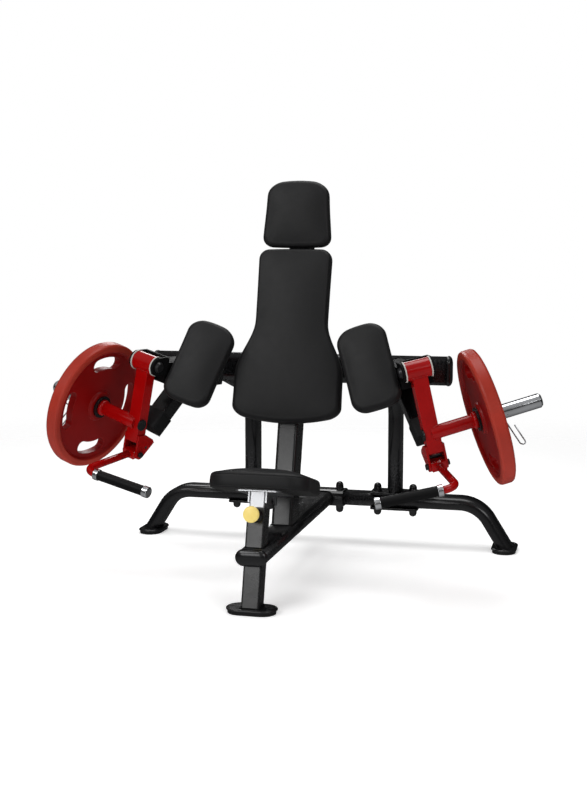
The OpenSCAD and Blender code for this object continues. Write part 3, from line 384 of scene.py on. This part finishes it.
# Foot edges: the steel rim of each foot plate is rolled over to a full round when the plate is
# pressed, and is coated with it, so that no sharp edge is left at the floor.
def spread(points, step, closed):
    """The same line, with its points evenly spaced."""
    line = points + points[:1] if closed else points
    runs = [(b - a).length for a, b in zip(line, line[1:])]
    total = sum(runs)
    count = max(4, round(total / step))
    out = []
    k, done = 0, 0.0
    for i in range(count if closed else count + 1):
        want = total * i / count
        while k < len(runs) - 1 and done + runs[k] < want:
            done += runs[k]
            k += 1
        out.append(line[k].lerp(line[k + 1], min(1, (want - done) / max(runs[k], 1e-9))))
    return out


def tube_mesh(work, line, radius, sides, closed):
    """Sweeps a round tube along a line; radius is a number or one for each point."""
    count = len(line)
    rings = []
    lean = None
    for i, p in enumerate(line):
        ahead = line[(i + 1) % count] if closed else line[min(i + 1, count - 1)]
        behind = line[i - 1] if closed else line[max(i - 1, 0)]
        along = (ahead - behind).normalized()
        if lean is None:
            lean = along.orthogonal().normalized()
        lean = (lean - along * lean.dot(along)).normalized()
        other = along.cross(lean)
        r = radius[i] if isinstance(radius, list) else radius
        angles = [2 * math.pi * k / sides for k in range(sides)]
        rings.append([work.verts.new(p + r * (math.cos(a) * lean + math.sin(a) * other)) for a in angles])
    if closed:
        first, last = rings[0], rings[-1]
        near = min(range(sides), key=lambda k: (last[0].co - first[k].co).length)
        rings.append(first[near:] + first[:near])
    loft(work, rings, capped=not closed)


work = bmesh.new()
for x, y, angle in [(0, front_y, 0), (LEG_REACH, FROM_REAR, 90), (-LEG_REACH, FROM_REAR, 90)]:
    place = moved(x, y, FOOT_TOP - 0.004) @ turned(0, 0, angle)
    rim = [place @ Vector((a, b, 0)) for a, b in oval_ring(0.157, 0.087)]
    tube_mesh(work, spread(rim, 0.003, True), 0.0041, 16, True)
piece("foot_edges", work, "frame", black_coat)

# Weld beads: each tube is joined by a hand-laid bead, its ripples still showing under the coat.
# The bead follows the line where the tube's outer edge meets the piece that it is welded to.
column = moved(0, front_y, 0) @ turned(-15, 0, 0)
back = moved(0, FROM_REAR - 0.703, 0) @ turned(-15, 0, 0)
arm = moved(0.459, FROM_REAR - 0.679, 0.7395) @ turned(0, -13, 22)


def box_ring(w, h, r, count=9):
    """Points round a rectangle with round corners."""
    ring = []
    for q, (sx, sy) in enumerate([(1, 1), (-1, 1), (-1, -1), (1, -1)]):
        for i in range(count + 1):
            a = math.pi / 2 * (q + i / count)
            ring.append((sx * (w / 2 - r) + r * math.cos(a), sy * (h / 2 - r) + r * math.sin(a)))
    return ring


def solid(node):
    """The node's faces, to find where a line meets them."""
    mesh = nodes[node].data
    return BVHTree.FromPolygons([v.co for v in mesh.vertices], [p.vertices for p in mesh.polygons])


def weld(work, ring, start, sign, targets, bead=0.0032):
    """Lays a bead where a tube's outline, run up or down the start's own z axis, meets the targets."""
    trees = [solid(node) for node in targets]
    way = start.to_3x3() @ Vector((0, 0, sign))
    found = []
    for x, y in ring:
        origin = start @ Vector((x, y, 0))
        hits = [h for h in (t.ray_cast(origin, way) for t in trees) if h[0] is not None]
        found.append(min(hits, key=lambda h: h[3])[0] if hits else None)
    if None not in found:
        runs = [(found, True)]
    else:
        first = found.index(None)
        runs, run = [], []
        for p in found[first:] + found[:first] + [None]:
            if p is not None:
                run.append(p)
                continue
            if len(run) > 3:
                runs.append((run, False))
            run = []
    for run, closed in runs:
        line = spread(run, 0.0011, closed)
        ripples = [bead * (0.86 + 0.2 * abs(math.sin(i * 0.9))) for i in range(len(line))]
        tube_mesh(work, line, ripples, 8, closed)


work = bmesh.new()
square, flat_oval = box_ring(0.061, 0.061, 0.006), oval_ring(0.051, 0.101)
weld(work, box_ring(0.073, 0.096, 0.010), back @ moved(0, 0.0475, 0.30), -1, ["main_beam"])
weld(work, square, column @ moved(0, 0, 0.10), -1, ["front_foot"])
weld(work, square, column @ moved(0, 0, 0.29), -1, ["main_beam", "beam_cap"])
weld(work, oval_ring(0.101, 0.051), moved(0, 0.2, BEAM_Z) @ turned(90, 0, 0), -1, ["cross_sleeve"])
for side, flip in SIDES:
    rise = moved(UPRIGHT_X, FROM_REAR, upright_top) @ turned(75, 0, 0)
    drop = moved(leg_top, FROM_REAR, BEAM_Z) @ turned(0, 180 - 32, 0)
    stem = arm @ moved(-0.020, 0.10, -0.025) @ turned(-90, 0, 0)
    post = arm @ moved(-0.018, 0.205, -0.060) @ turned(-39, -4, 0)
    weld(work, flat_oval, flip @ moved(UPRIGHT_X, FROM_REAR, 0.30), -1, ["upright_bases"])
    weld(work, flat_oval, flip @ rise @ moved(0, 0, 0.28), 1, ["crossbar"])
    weld(work, flat_oval, flip @ drop @ moved(0, 0, 0.11), 1, [side + "_foot"])
    weld(work, box_ring(0.061, 0.071, 0.003), flip @ stem, 1, ["crossbar"])
    weld(work, box_ring(0.063, 0.063, 0.006), flip @ post @ moved(0, 0, -0.12), 1,
         [side + "_bracket", "crossbar"])
weld_coat = coated("weld_bead_coat", (0.006, 0.006, 0.0065), (0.05, 0.05, 0.05), edge=0.2,
                   roughness=0.55, peel=620, height=0.10, radius=0.001, shine=0.04)
piece("frame_welds", work, "frame", weld_coat)
paint(weld_coat, "left_bracket", "right_bracket")

# Moulded ends and caps: black plastic pushed into the tube ends and over the bolts after coating,
# with rounded faces, the fine spark texture of a moulding tool and a duller skin than coated steel.
moulded = coated("moulded_black", (0.006, 0.006, 0.0065), (0.04, 0.04, 0.04), edge=0.2,
                 roughness=0.20, peel=1400, height=0.12, radius=0.0015)
paint(moulded, "beam_cap", "upright_cap", "crossbar_caps", "bolt_caps", "pull_housing",
      "left_horn_ends", "right_horn_ends")
END_DOME = [(0, .0004), (0, .0016), (.0030, .0022), (.0065, .0018), (.0100, .0002), (.0130, -.0030),
            (.0152, -.0072), (.0168, -.0120), (.0178, -.0172), (.0182, -.0228)]
BOLT_CAP = [(0, .0150), (.0001, .0172), (.0018, .0172), (.0026, .0150), (.0150, .0146), (.0200, .0138),
            (.0244, .0117), (.0275, .0081), (.0294, .0037)]


def turned_ring(work, place, profile, sides=48):
    """Turns a profile of (along, radius) pairs about the place's own x axis."""
    angles = [2 * math.pi * k / sides for k in range(sides)]
    loft(work, [[work.verts.new(place @ Vector((x, r * math.cos(a), r * math.sin(a)))) for a in angles]
                for x, r in profile])


def domed_end(work, place):
    """A moulded cap over the end of a flat-oval tube, its face rising to a low dome."""
    rings = []
    for along, grow in END_DOME:
        ring = oval_ring(TUBE_W + 2 * grow, TUBE_H + 2 * grow, 56)
        rings.append([work.verts.new(place @ Vector((x, y, along))) for x, y in ring])
    loft(work, rings)


work = bmesh.new()
domed_end(work, moved(0, front_y, BEAM_Z) @ turned(90, 0, 0))
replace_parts(piece("beam_end_dome", work, "frame", moulded), "beam_cap")
work = bmesh.new()
for side, flip in SIDES:
    domed_end(work, flip @ moved(BAR_END, bar_y, BAR_Z) @ turned(0, 90, 0))
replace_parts(piece("crossbar_end_domes", work, "frame", moulded), "crossbar_caps")
work = bmesh.new()
for x, top in [(0.064, 0.031), (0.212, 0.033), (0.348, 0.033)]:
    for side, flip in SIDES:
        for up in (1, -1):
            place = flip @ moved(x, FROM_REAR, BEAM_Z + up * top) @ turned(0, -90 * up, 0)
            turned_ring(work, place, BOLT_CAP, 32)
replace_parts(piece("bolt_cap_domes", work, "frame", moulded), "bolt_caps")

# Cushions: foam on a board, covered in black grained vinyl. A front panel is sewn to a side band,
# drawn over the edge and stapled behind, so the faces crown and the skin puckers at the corners.
grain, inside, outside = node_group("vinyl_grain", [
    ("Colour", "NodeSocketColor", (0.02, 0.02, 0.02, 1)),
    ("Cell Scale", "NodeSocketFloat", 620.0),
    ("Height", "NodeSocketFloat", 0.35),
])
place = add(grain, "ShaderNodeTexCoord")
cells = add(grain, "ShaderNodeTexVoronoi", feature="SMOOTH_F1", Smoothness=0.4)
creases = add(grain, "ShaderNodeTexNoise", Scale=38.0, Detail=5.0, Roughness=0.6)
cloud = add(grain, "ShaderNodeTexNoise", Scale=5.0, Detail=3.0)
height = add(grain, "ShaderNodeMath", operation="MULTIPLY_ADD")
height.inputs[1].default_value = 0.5
shade = add(grain, "ShaderNodeHueSaturation")
tone = ranged(grain, 0.3, 0.7, 0.93, 1.08)
gloss = ranged(grain, 0.3, 0.7, 0.47, 0.53)
bump = add(grain, "ShaderNodeBump", Distance=0.0005)
link(grain, [
    (place.outputs["Object"], cells.inputs["Vector"]),
    (inside.outputs["Cell Scale"], cells.inputs["Scale"]),
    (place.outputs["Object"], creases.inputs["Vector"]),
    (place.outputs["Object"], cloud.inputs["Vector"]),
    (creases.outputs["Fac"], height.inputs[0]),
    (cells.outputs["Distance"], height.inputs[2]),
    (height.outputs["Value"], bump.inputs["Height"]),
    (inside.outputs["Height"], bump.inputs["Strength"]),
    (bump.outputs["Normal"], outside.inputs["Normal"]),
    (cloud.outputs["Fac"], tone.inputs["Value"]),
    (tone.outputs["Result"], shade.inputs["Value"]),
    (inside.outputs["Colour"], shade.inputs["Color"]),
    (shade.outputs["Color"], outside.inputs["Colour"]),
    (creases.outputs["Fac"], gloss.inputs["Value"]),
    (gloss.outputs["Result"], outside.inputs["Roughness"]),
])

vinyl, tree, surface = shader("black_vinyl")
skin = add(tree, "ShaderNodeGroup", node_tree=grain)
skin.inputs["Colour"].default_value = (0.0072, 0.0072, 0.0077, 1)
surface.inputs["Specular IOR Level"].default_value = 0.24
surface.inputs["Sheen Weight"].default_value = 0.02
surface.inputs["Sheen Roughness"].default_value = 0.5
link(tree, [
    (skin.outputs["Colour"], surface.inputs["Base Color"]),
    (skin.outputs["Roughness"], surface.inputs["Roughness"]),
    (skin.outputs["Normal"], surface.inputs["Normal"]),
])
thread = coated("seam_thread", (0.010, 0.010, 0.011), (0.03, 0.03, 0.03), edge=0.2,
                roughness=0.6, peel=3000, height=0.5, radius=0.0003)


def swell(made, pinned, cap):
    """Blows the skin out by cloth pressure between its held seams, and keeps the shape it takes."""
    held = made.vertex_groups.new(name="held_seams")
    held.add(pinned, 1.0, "REPLACE")
    cloth = made.modifiers.new("skin_pressure", "CLOTH")
    cloth.settings.vertex_group_mass = "held_seams"
    cloth.settings.quality = 6
    cloth.settings.mass = 0.3
    cloth.settings.tension_stiffness = 15
    cloth.settings.compression_stiffness = 15
    cloth.settings.bending_stiffness = 0.8
    cloth.settings.use_pressure = True
    cloth.settings.uniform_pressure_force = 4
    cloth.settings.effector_weights.gravity = 0
    cloth.point_cache.frame_end = 20
    for frame_number in range(1, 21):
        bpy.context.scene.frame_set(frame_number)
    blown = made.evaluated_get(bpy.context.evaluated_depsgraph_get()).to_mesh()
    shape = [v.co.copy() for v in blown.vertices]
    made.modifiers.remove(cloth)
    made.vertex_groups.remove(held)
    bpy.context.scene.frame_set(1)
    for vertex, co in zip(made.data.vertices, shape):
        move = co - vertex.co
        vertex.co += move * min(1, cap / max(move.length, 1e-9))


def cushion(name, node, body, place, length, w_low, w_top, y_low, y_top, r, arch, thick, crown,
            cells, droop=0.03):
    """Builds a cushion on its flat back: a side band, its seams and a grid of cells for the front."""
    tall, wide = length / 2, max(w_low, w_top) / 2
    across, along = cells

    def at(u, v):
        """A point of the outline's face; u runs across it and v along it, from -1 to 1."""
        end = 0 if v < 0 else 1
        y = tall * math.sin(math.pi / 2 * v)
        t = min(1, max(0, (y - y_low) / (y_top - y_low)))
        half = (w_low + (w_top - w_low) * t * t * (3 - 2 * t)) / 2
        over = max(0, abs(y) - (tall - r[end]))
        half += math.sqrt(max(0, r[end] ** 2 - over ** 2)) - r[end] - 0.003 * (1 - (y / tall) ** 2)
        near = max(0, abs(y) / tall - 0.5) * 2
        x = u * half
        return x, y - math.copysign(arch[end] * (x / wide * near) ** 2, y)

    def laid(x, y, z, inset=0.0):
        """That point in the room, drawn in by the inset, with the cushion's two sides let down."""
        x, y = x * (1 - inset / wide), y * (1 - inset / tall)
        return place @ Vector((x, y, z * (1 - droop * abs(x / wide) ** 5)))

    rim = [(i, 0) for i in range(across + 1)] + [(across, j) for j in range(1, along + 1)]
    rim += [(i, along) for i in range(across - 1, -1, -1)] + [(0, j) for j in range(along - 1, 0, -1)]
    ring = [at(2 * i / across - 1, 2 * j / along - 1) for i, j in rim]
    seam = thick - 0.0115
    edge = [(0, .011), (.0004, .0075), (.0016, .0046), (.0040, .0022), (.0062, .0013), (.0070, .0022),
            (.0078, .0011), (.012, .0003), (thick * .36, -.0004), (thick * .55, -.0002),
            (seam - .0030, .0004), (seam - .0008, .0012), (seam, .0027), (seam + .0008, .0014),
            (seam + .0024, .0016), (thick - .0062, .0034), (thick - .0036, .0062), (thick - .0016, .0098),
            (thick - .0004, .0135), (thick, .0175)]
    work = bmesh.new()
    rows = [[work.verts.new(laid(x, y, z, inset)) for x, y in ring] for z, inset in edge]
    low = work.verts.new(place @ Vector((0, 0, 0)))
    pinned = len(work.verts)
    face = dict(zip(rim, rows[-1]))
    for i in range(1, across):
        for j in range(1, along):
            u, v = 2 * i / across - 1, 2 * j / along - 1
            x, y = at(u, v)
            lift = crown * (1 - abs(u) ** 2.6) * (1 - abs(y / tall) ** 2.6)
            face[i, j] = work.verts.new(laid(x, y, thick + lift, edge[-1][1]))
    loft(work, rows, capped=False)
    for i in range(len(ring)):
        work.faces.new((low, rows[0][(i + 1) % len(ring)], rows[0][i]))
    for i in range(across):
        for j in range(along):
            work.faces.new((face[i, j], face[i + 1, j], face[i + 1, j + 1], face[i, j + 1]))
    made = piece(name, work, body, vinyl)
    swell(made, list(range(pinned)), 0.008)
    made.modifiers.new("smooth_skin", "SUBSURF").levels = 1
    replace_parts(made, node)
    sewn = seam - .0042
    line = spread([laid(x, y, sewn, .0016) for x, y in ring], 0.0052, True)
    middle = place @ Vector((0, 0, sewn))
    work = bmesh.new()
    for i, p in enumerate(line):
        q = line[(i + 1) % len(line)]
        out = (q - p).cross(place.to_3x3() @ Vector((0, 0, 1))).normalized()
        out *= 1 if out.dot(p - middle) > 0 else -1
        a, b = p.lerp(q, 0.14), p.lerp(q, 0.82)
        tube_mesh(work, [a, a.lerp(b, 0.15) + out * 0.0012, a.lerp(b, 0.85) + out * 0.0012, b],
                  [0.0003, 0.00045, 0.00045, 0.0003], 5, False)
    piece(name + "_stitches", work, body, thread)


# Seat: a short cushion with large round corners on a folded chromed plate, carried by a chromed
# square post that slides in the column and is held by the pull pin.
satin = coated("satin_chrome", (0.45, 0.455, 0.47), (0.36, 0.36, 0.37), edge=0.3,
               roughness=0.32, peel=900, height=0.005, radius=0.0015, metal=1.0)
paint(satin, "seat_post", "seat_plate")
cushion("seat_cushion", "seat_pad", "seat", column @ moved(0, 0.062, 0.380),
        length=0.270, w_low=0.328, w_top=0.328, y_low=-0.135, y_top=0.135, r=(0.062, 0.062),
        arch=(0.012, 0.012), thick=0.055, crown=0.018, cells=(30, 26), droop=0.07)

# Pull pin: a zinc-plated pin in a moulded collar on the column's front, pulled by a yellow plastic
# knob with a domed face. The collar is turned here, wider than its solid, as the photograph shows it.
zinc = coated("zinc_plate", (0.50, 0.51, 0.53), (0.30, 0.30, 0.31), edge=0.4,
              roughness=0.28, peel=700, height=0.08, radius=0.0012, metal=1.0)
paint(zinc, "pull_pin", "frame_bolts")
work = bmesh.new()
turned_ring(work, column @ moved(0, -0.030, 0.300) @ turned(0, 0, -90),
            [(0, .0205), (.0002, .0225), (.0042, .0225), (.0052, .0200), (.0260, .0196), (.0290, .0184),
             (.0300, .0150), (.0415, .0142), (.0420, .0130)])
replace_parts(piece("pull_pin_collar", work, "frame", moulded), "pull_housing")
yellow = coated("yellow_knob", (0.93, 0.72, 0.21), (0.95, 0.85, 0.50), edge=0.3,
                roughness=0.30, peel=1200, height=0.08, radius=0.0012)
paint(yellow, "pull_knob")

# Back support: a flared back cushion and a small head cushion, both foam under vinyl, screwed to
# plates on the leaned centre upright.
BACK_LENGTH = 0.602
cushion("back_cushion", "back_pad", "frame",
        back @ moved(0, -0.006, 0.548 + BACK_LENGTH / 2) @ turned(90, 0, 0),
        length=BACK_LENGTH, w_low=0.378, w_top=0.254, y_low=0.165 - BACK_LENGTH / 2,
        y_top=0.350 - BACK_LENGTH / 2, r=(0.042, 0.034), arch=(0.028, 0.006), thick=0.052, crown=0.009,
        cells=(28, 56))
head = moved(0, FROM_REAR - 0.406, 1.131) @ turned(-8, 0, 0)
cushion("head_cushion", "head_pad", "frame", head @ moved(0, 0, 0.1065) @ turned(90, 0, 0),
        length=0.231, w_low=0.242, w_top=0.218, y_low=-0.1105, y_top=0.1105, r=(0.036, 0.054),
        arch=(0.004, 0.016), thick=0.046, crown=0.009, cells=(24, 24))

# Arm cushions: one each side, foam under vinyl, leaned forwards and outwards in front of the
# crossbar and screwed to a welded plate.
rest = moved(0.293, FROM_REAR - 0.603, 0.728) @ turned(-21.5, -18.8, 2.6) @ turned(90, 0, 0)
for side, flip in SIDES:
    cushion(side + "_arm_cushion", side + "_arm_pad", "frame", flip @ rest,
            length=0.293, w_low=0.171, w_top=0.171, y_low=-0.138, y_top=0.138, r=(0.044, 0.050),
            arch=(0.006, 0.012), thick=0.050, crown=0.008, cells=(18, 30))

# Curl arms: a bored pivot housing, a square lever and a horn root, welded up and powder coated in
# gloss red, turning on pale nylon bushings. The horn itself is a chromed sleeve.
horn = arm @ moved(0, -0.008, -0.213) @ turned(0, -3.7, -4.2)
chrome = coated("bright_chrome", (0.62, 0.63, 0.65), (0.45, 0.45, 0.46), edge=0.3,
                roughness=0.10, peel=900, height=0.005, radius=0.0015, metal=1.0)
red_coat = coated("red_powder_coat", (0.31, 0.0006, 0.0008), (0.50, 0.03, 0.025), edge=0.25,
                  roughness=0.20, peel=560, height=0.08, radius=0.003, clear=0.22, shine=0.2)
black_oxide = coated("black_oxide", (0.022, 0.022, 0.024), (0.16, 0.16, 0.16), edge=0.5,
                     roughness=0.33, peel=900, height=0.06, radius=0.0012, metal=0.6)
nylon = coated("pale_nylon", (0.50, 0.49, 0.46), (0.65, 0.64, 0.60), edge=0.3,
               roughness=0.45, peel=1200, height=0.12, radius=0.0008)
ROOT_RING = [(0.1385, .0223), (0.1400, .0252), (0.1440, .0282), (0.1516, .0288), (0.1519, .0223)]
WEB_OUTLINE = [(0.0420, -0.3050), (0.0445, -0.3075), (0.0625, -0.2885), (0.0600, -0.2855)]
LEVER_BEAD = 0.0026
for side, flip in SIDES:
    paint(chrome, side + "_horn")
    paint(red_coat, side + "_lever", side + "_clevis")
    paint(nylon, side + "_bushings")
    paint(black_oxide, side + "_shaft", side + "_hinge_pins")
    work = bmesh.new()
    weld(work, box_ring(0.051, 0.041, 0.001), flip @ arm @ moved(0, 0, -0.06), 1,
         [side + "_lever"], LEVER_BEAD)
    weld(work, oval_ring(0.0461, 0.046), flip @ horn @ moved(0.08, 0, 0) @ turned(0, 90, 0), -1,
         [side + "_lever"], LEVER_BEAD)
    turned_ring(work, flip @ horn, ROOT_RING)
    piece(side + "_lever_welds", work, side + "_arm", red_coat)
    work = bmesh.new()
    loft(work, [[work.verts.new(flip @ arm @ Vector((x, y, z))) for y, z in WEB_OUTLINE]
                for x in (-0.0252, 0.0252)])
    piece(side + "_clevis_web", work, side + "_arm", red_coat, smooth=False)

# Handles: a bent round rod on a hinge at the lever's foot, red like the lever, with a rubber grip
# between two turned steel collars.
hinge = arm @ moved(0, 0, -0.319) @ turned(8, 0, 0)
grip_rubber = coated("grip_rubber", (0.003, 0.003, 0.0034), (0.03, 0.03, 0.03), edge=0.25,
                     roughness=0.50, peel=1500, height=0.6, radius=0.001, shine=0.15)
collar_steel = coated("grip_collar_steel", (0.72, 0.73, 0.75), (0.5, 0.5, 0.5), edge=0.3,
                      roughness=0.16, peel=900, height=0.04, radius=0.001, metal=1.0)
ROD_R, ROD_BEND, ELBOW = 0.0125, 0.038, math.radians(98)
rod_reach = 0.230 - ROD_BEND * math.tan(ELBOW / 2)
turns = [-ELBOW * i / 20 for i in range(21)]
rod_line = [Vector((0, -0.018, 0))]
rod_line += [Vector((ROD_BEND * math.cos(a) - ROD_BEND, ROD_BEND * math.sin(a) - rod_reach, 0))
             for a in turns]
rod_way = Vector((-math.sin(ELBOW), -math.cos(ELBOW), 0))
rod_corner = rod_line[-1]
rod_line.append(rod_corner + rod_way * 0.214)
along_grip = Matrix(((rod_way.x, -rod_way.y, 0, rod_corner.x), (rod_way.y, rod_way.x, 0, rod_corner.y),
                     (0, 0, 1, 0), (0, 0, 0, 1)))
HINGE_BARREL = [(-0.0245, ROD_R), (-0.0235, 0.014), (0.0235, 0.014), (0.0245, ROD_R)]
HINGE_BLOCKS = [((-0.0245, 0, 0.0), (0.0245, 0.034, 0.014)), ((-0.0245, -0.024, -0.014), (0.0245, 0, 0.014))]
INNER_COLLAR = [(0.003, 0.0135), (0.003, 0.0180), (0.004, 0.0190), (0.019, 0.0190), (0.020, 0.0180),
                (0.020, 0.0135)]
OUTER_COLLAR = [(0.1990, 0.0160), (0.1992, 0.0182), (0.2000, 0.0190), (0.2166, 0.0190), (0.2184, 0.0176),
                (0.2187, 0.0120), (0.2180, 0.0110)]
ribs = [(0.0201, 0.0150), (0.0203, 0.0164), (0.0210, 0.0170)]
ribs += [(0.022 + i * 0.0016, 0.0170 - (0.00022 if i % 2 else 0)) for i in range(110)]
ribs += [(0.1982, 0.0170), (0.1988, 0.0164), (0.1990, 0.0150)]
for side, flip in SIDES:
    place = flip @ hinge
    work = bmesh.new()
    tube_mesh(work, [place @ p for p in rod_line], ROD_R, 32, False)
    turned_ring(work, place, HINGE_BARREL)
    for low, high in HINGE_BLOCKS:
        for v in bmesh.ops.create_cube(work, size=1.0)["verts"]:
            v.co = place @ Vector([(a + b) / 2 + c * (b - a) for a, b, c in zip(low, high, v.co)])
    rod = piece(side + "_handle_rod", work, side + "_handle", red_coat, smooth=False)
    for face in rod.data.polygons:
        face.use_smooth = len(face.vertices) == 4 and face.area < 0.0009
    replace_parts(rod, side + "_rod")
    work = bmesh.new()
    turned_ring(work, place @ along_grip, INNER_COLLAR)
    turned_ring(work, place @ along_grip, OUTER_COLLAR)
    piece(side + "_grip_collars", work, side + "_handle", collar_steel, smooth=False)
    work = bmesh.new()
    turned_ring(work, place @ along_grip, ribs)
    grip = piece(side + "_grip_sleeve", work, side + "_handle", grip_rubber)
    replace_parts(grip, side + "_grip")

# Weight plates: cast iron, enamelled red, with a raised rim and hub and four finger slots. The rim
# is painted a paler, more orange red, partly worn paint and partly a painted highlight, so the colour
# changes with the distance from the horn's axis.
WEB_RED = (0.20, 0.0015, 0.0015)
plate_red = coated("plate_enamel", WEB_RED, (0.50, 0.09, 0.06), edge=0.45,
                   roughness=0.33, peel=420, height=0.22, radius=0.003, shine=0.15)
tree = plate_red.node_tree
finish = next(n for n in tree.nodes if n.type == "GROUP")
place = add(tree, "ShaderNodeTexCoord")
fold = add(tree, "ShaderNodeVectorMath", operation="ABSOLUTE")
split = add(tree, "ShaderNodeSeparateXYZ")
parts = add(tree, "ShaderNodeSeparateXYZ")
join = add(tree, "ShaderNodeCombineXYZ")
turn_in = add(tree, "ShaderNodeMapping", vector_type="TEXTURE")
turn_in.inputs["Location"].default_value = horn.to_translation()
turn_in.inputs["Rotation"].default_value = horn.to_euler("XYZ")
flat = add(tree, "ShaderNodeVectorMath", operation="MULTIPLY")
flat.inputs[1].default_value = (0, 1, 1)
radius = add(tree, "ShaderNodeVectorMath", operation="LENGTH")
# Painted highlight with some wear: beyond 0.194 m from the horn's axis the enamel is painted a paler, more
# orange red.
rim = ranged(tree, 0.194, 0.206, interpolation_type="SMOOTHSTEP")
painted_rim_highlight = add(tree, "ShaderNodeMix", data_type="RGBA")
painted_rim_highlight.inputs[6].default_value = (*WEB_RED, 1)
painted_rim_highlight.inputs[7].default_value = (0.33, 0.030, 0.018, 1)
link(tree, [
    (place.outputs["Object"], fold.inputs[0]),
    (fold.outputs["Vector"], split.inputs["Vector"]),
    (place.outputs["Object"], parts.inputs["Vector"]),
    (split.outputs["X"], join.inputs["X"]),
    (parts.outputs["Y"], join.inputs["Y"]),
    (parts.outputs["Z"], join.inputs["Z"]),
    (join.outputs["Vector"], turn_in.inputs["Vector"]),
    (turn_in.outputs["Vector"], flat.inputs[0]),
    (flat.outputs["Vector"], radius.inputs[0]),
    (radius.outputs["Value"], rim.inputs["Value"]),
    (rim.outputs["Result"], painted_rim_highlight.inputs["Factor"]),
    (painted_rim_highlight.outputs[2], finish.inputs["Colour"]),
])
paint(plate_red, "left_plate", "right_plate")

# Spring collars: one length of chromed spring wire wound round the horn, its two ends left long as
# finger arms to squeeze it open.
wire = coated("spring_wire", (0.30, 0.305, 0.315), (0.3, 0.3, 0.3), edge=0.2,
              roughness=0.30, peel=900, height=0.04, radius=0.0006, metal=1.0)
WIRE_R, COIL_R, PITCH, ARM_REACH, LOOP_R, WOUND = 0.00225, 0.02675, 0.006, 0.118, 0.009, 2.75
arm_line = [(COIL_R + 2 * LOOP_R, ARM_REACH / 2), (COIL_R + 2 * LOOP_R, ARM_REACH)]
for i in range(1, 12):
    a = math.pi * i / 12
    arm_line.append((COIL_R + LOOP_R + LOOP_R * math.cos(a), ARM_REACH + LOOP_R * math.sin(a)))
arm_line += [(COIL_R, ARM_REACH * k) for k in (1, 2 / 3, 1 / 3, 0.1)]
coil = [Vector((x, -y, 0)) for x, y in arm_line]
end = math.radians(360 * WOUND)
for i in range(151):
    a = end * i / 150
    coil.append(Vector((COIL_R * math.cos(a), COIL_R * math.sin(a), PITCH * WOUND * i / 150)))
for x, y in reversed(arm_line):
    coil.append(Vector((COIL_R * math.cos(end) - y * math.sin(end),
                        COIL_R * math.sin(end) + y * math.cos(end),
                        PITCH * WOUND + 0.24 * y + x - COIL_R)))
for side, flip in SIDES:
    place = flip @ horn @ moved(0.20885, 0, 0) @ turned(0, 90, 0) @ turned(0, 0, 335)
    work = bmesh.new()
    tube_mesh(work, [place @ p for p in coil], WIRE_R, 12, False)
    made = piece(side + "_spring_collar", work, side + "_clip", wire)
    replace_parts(made, side + "_collar")
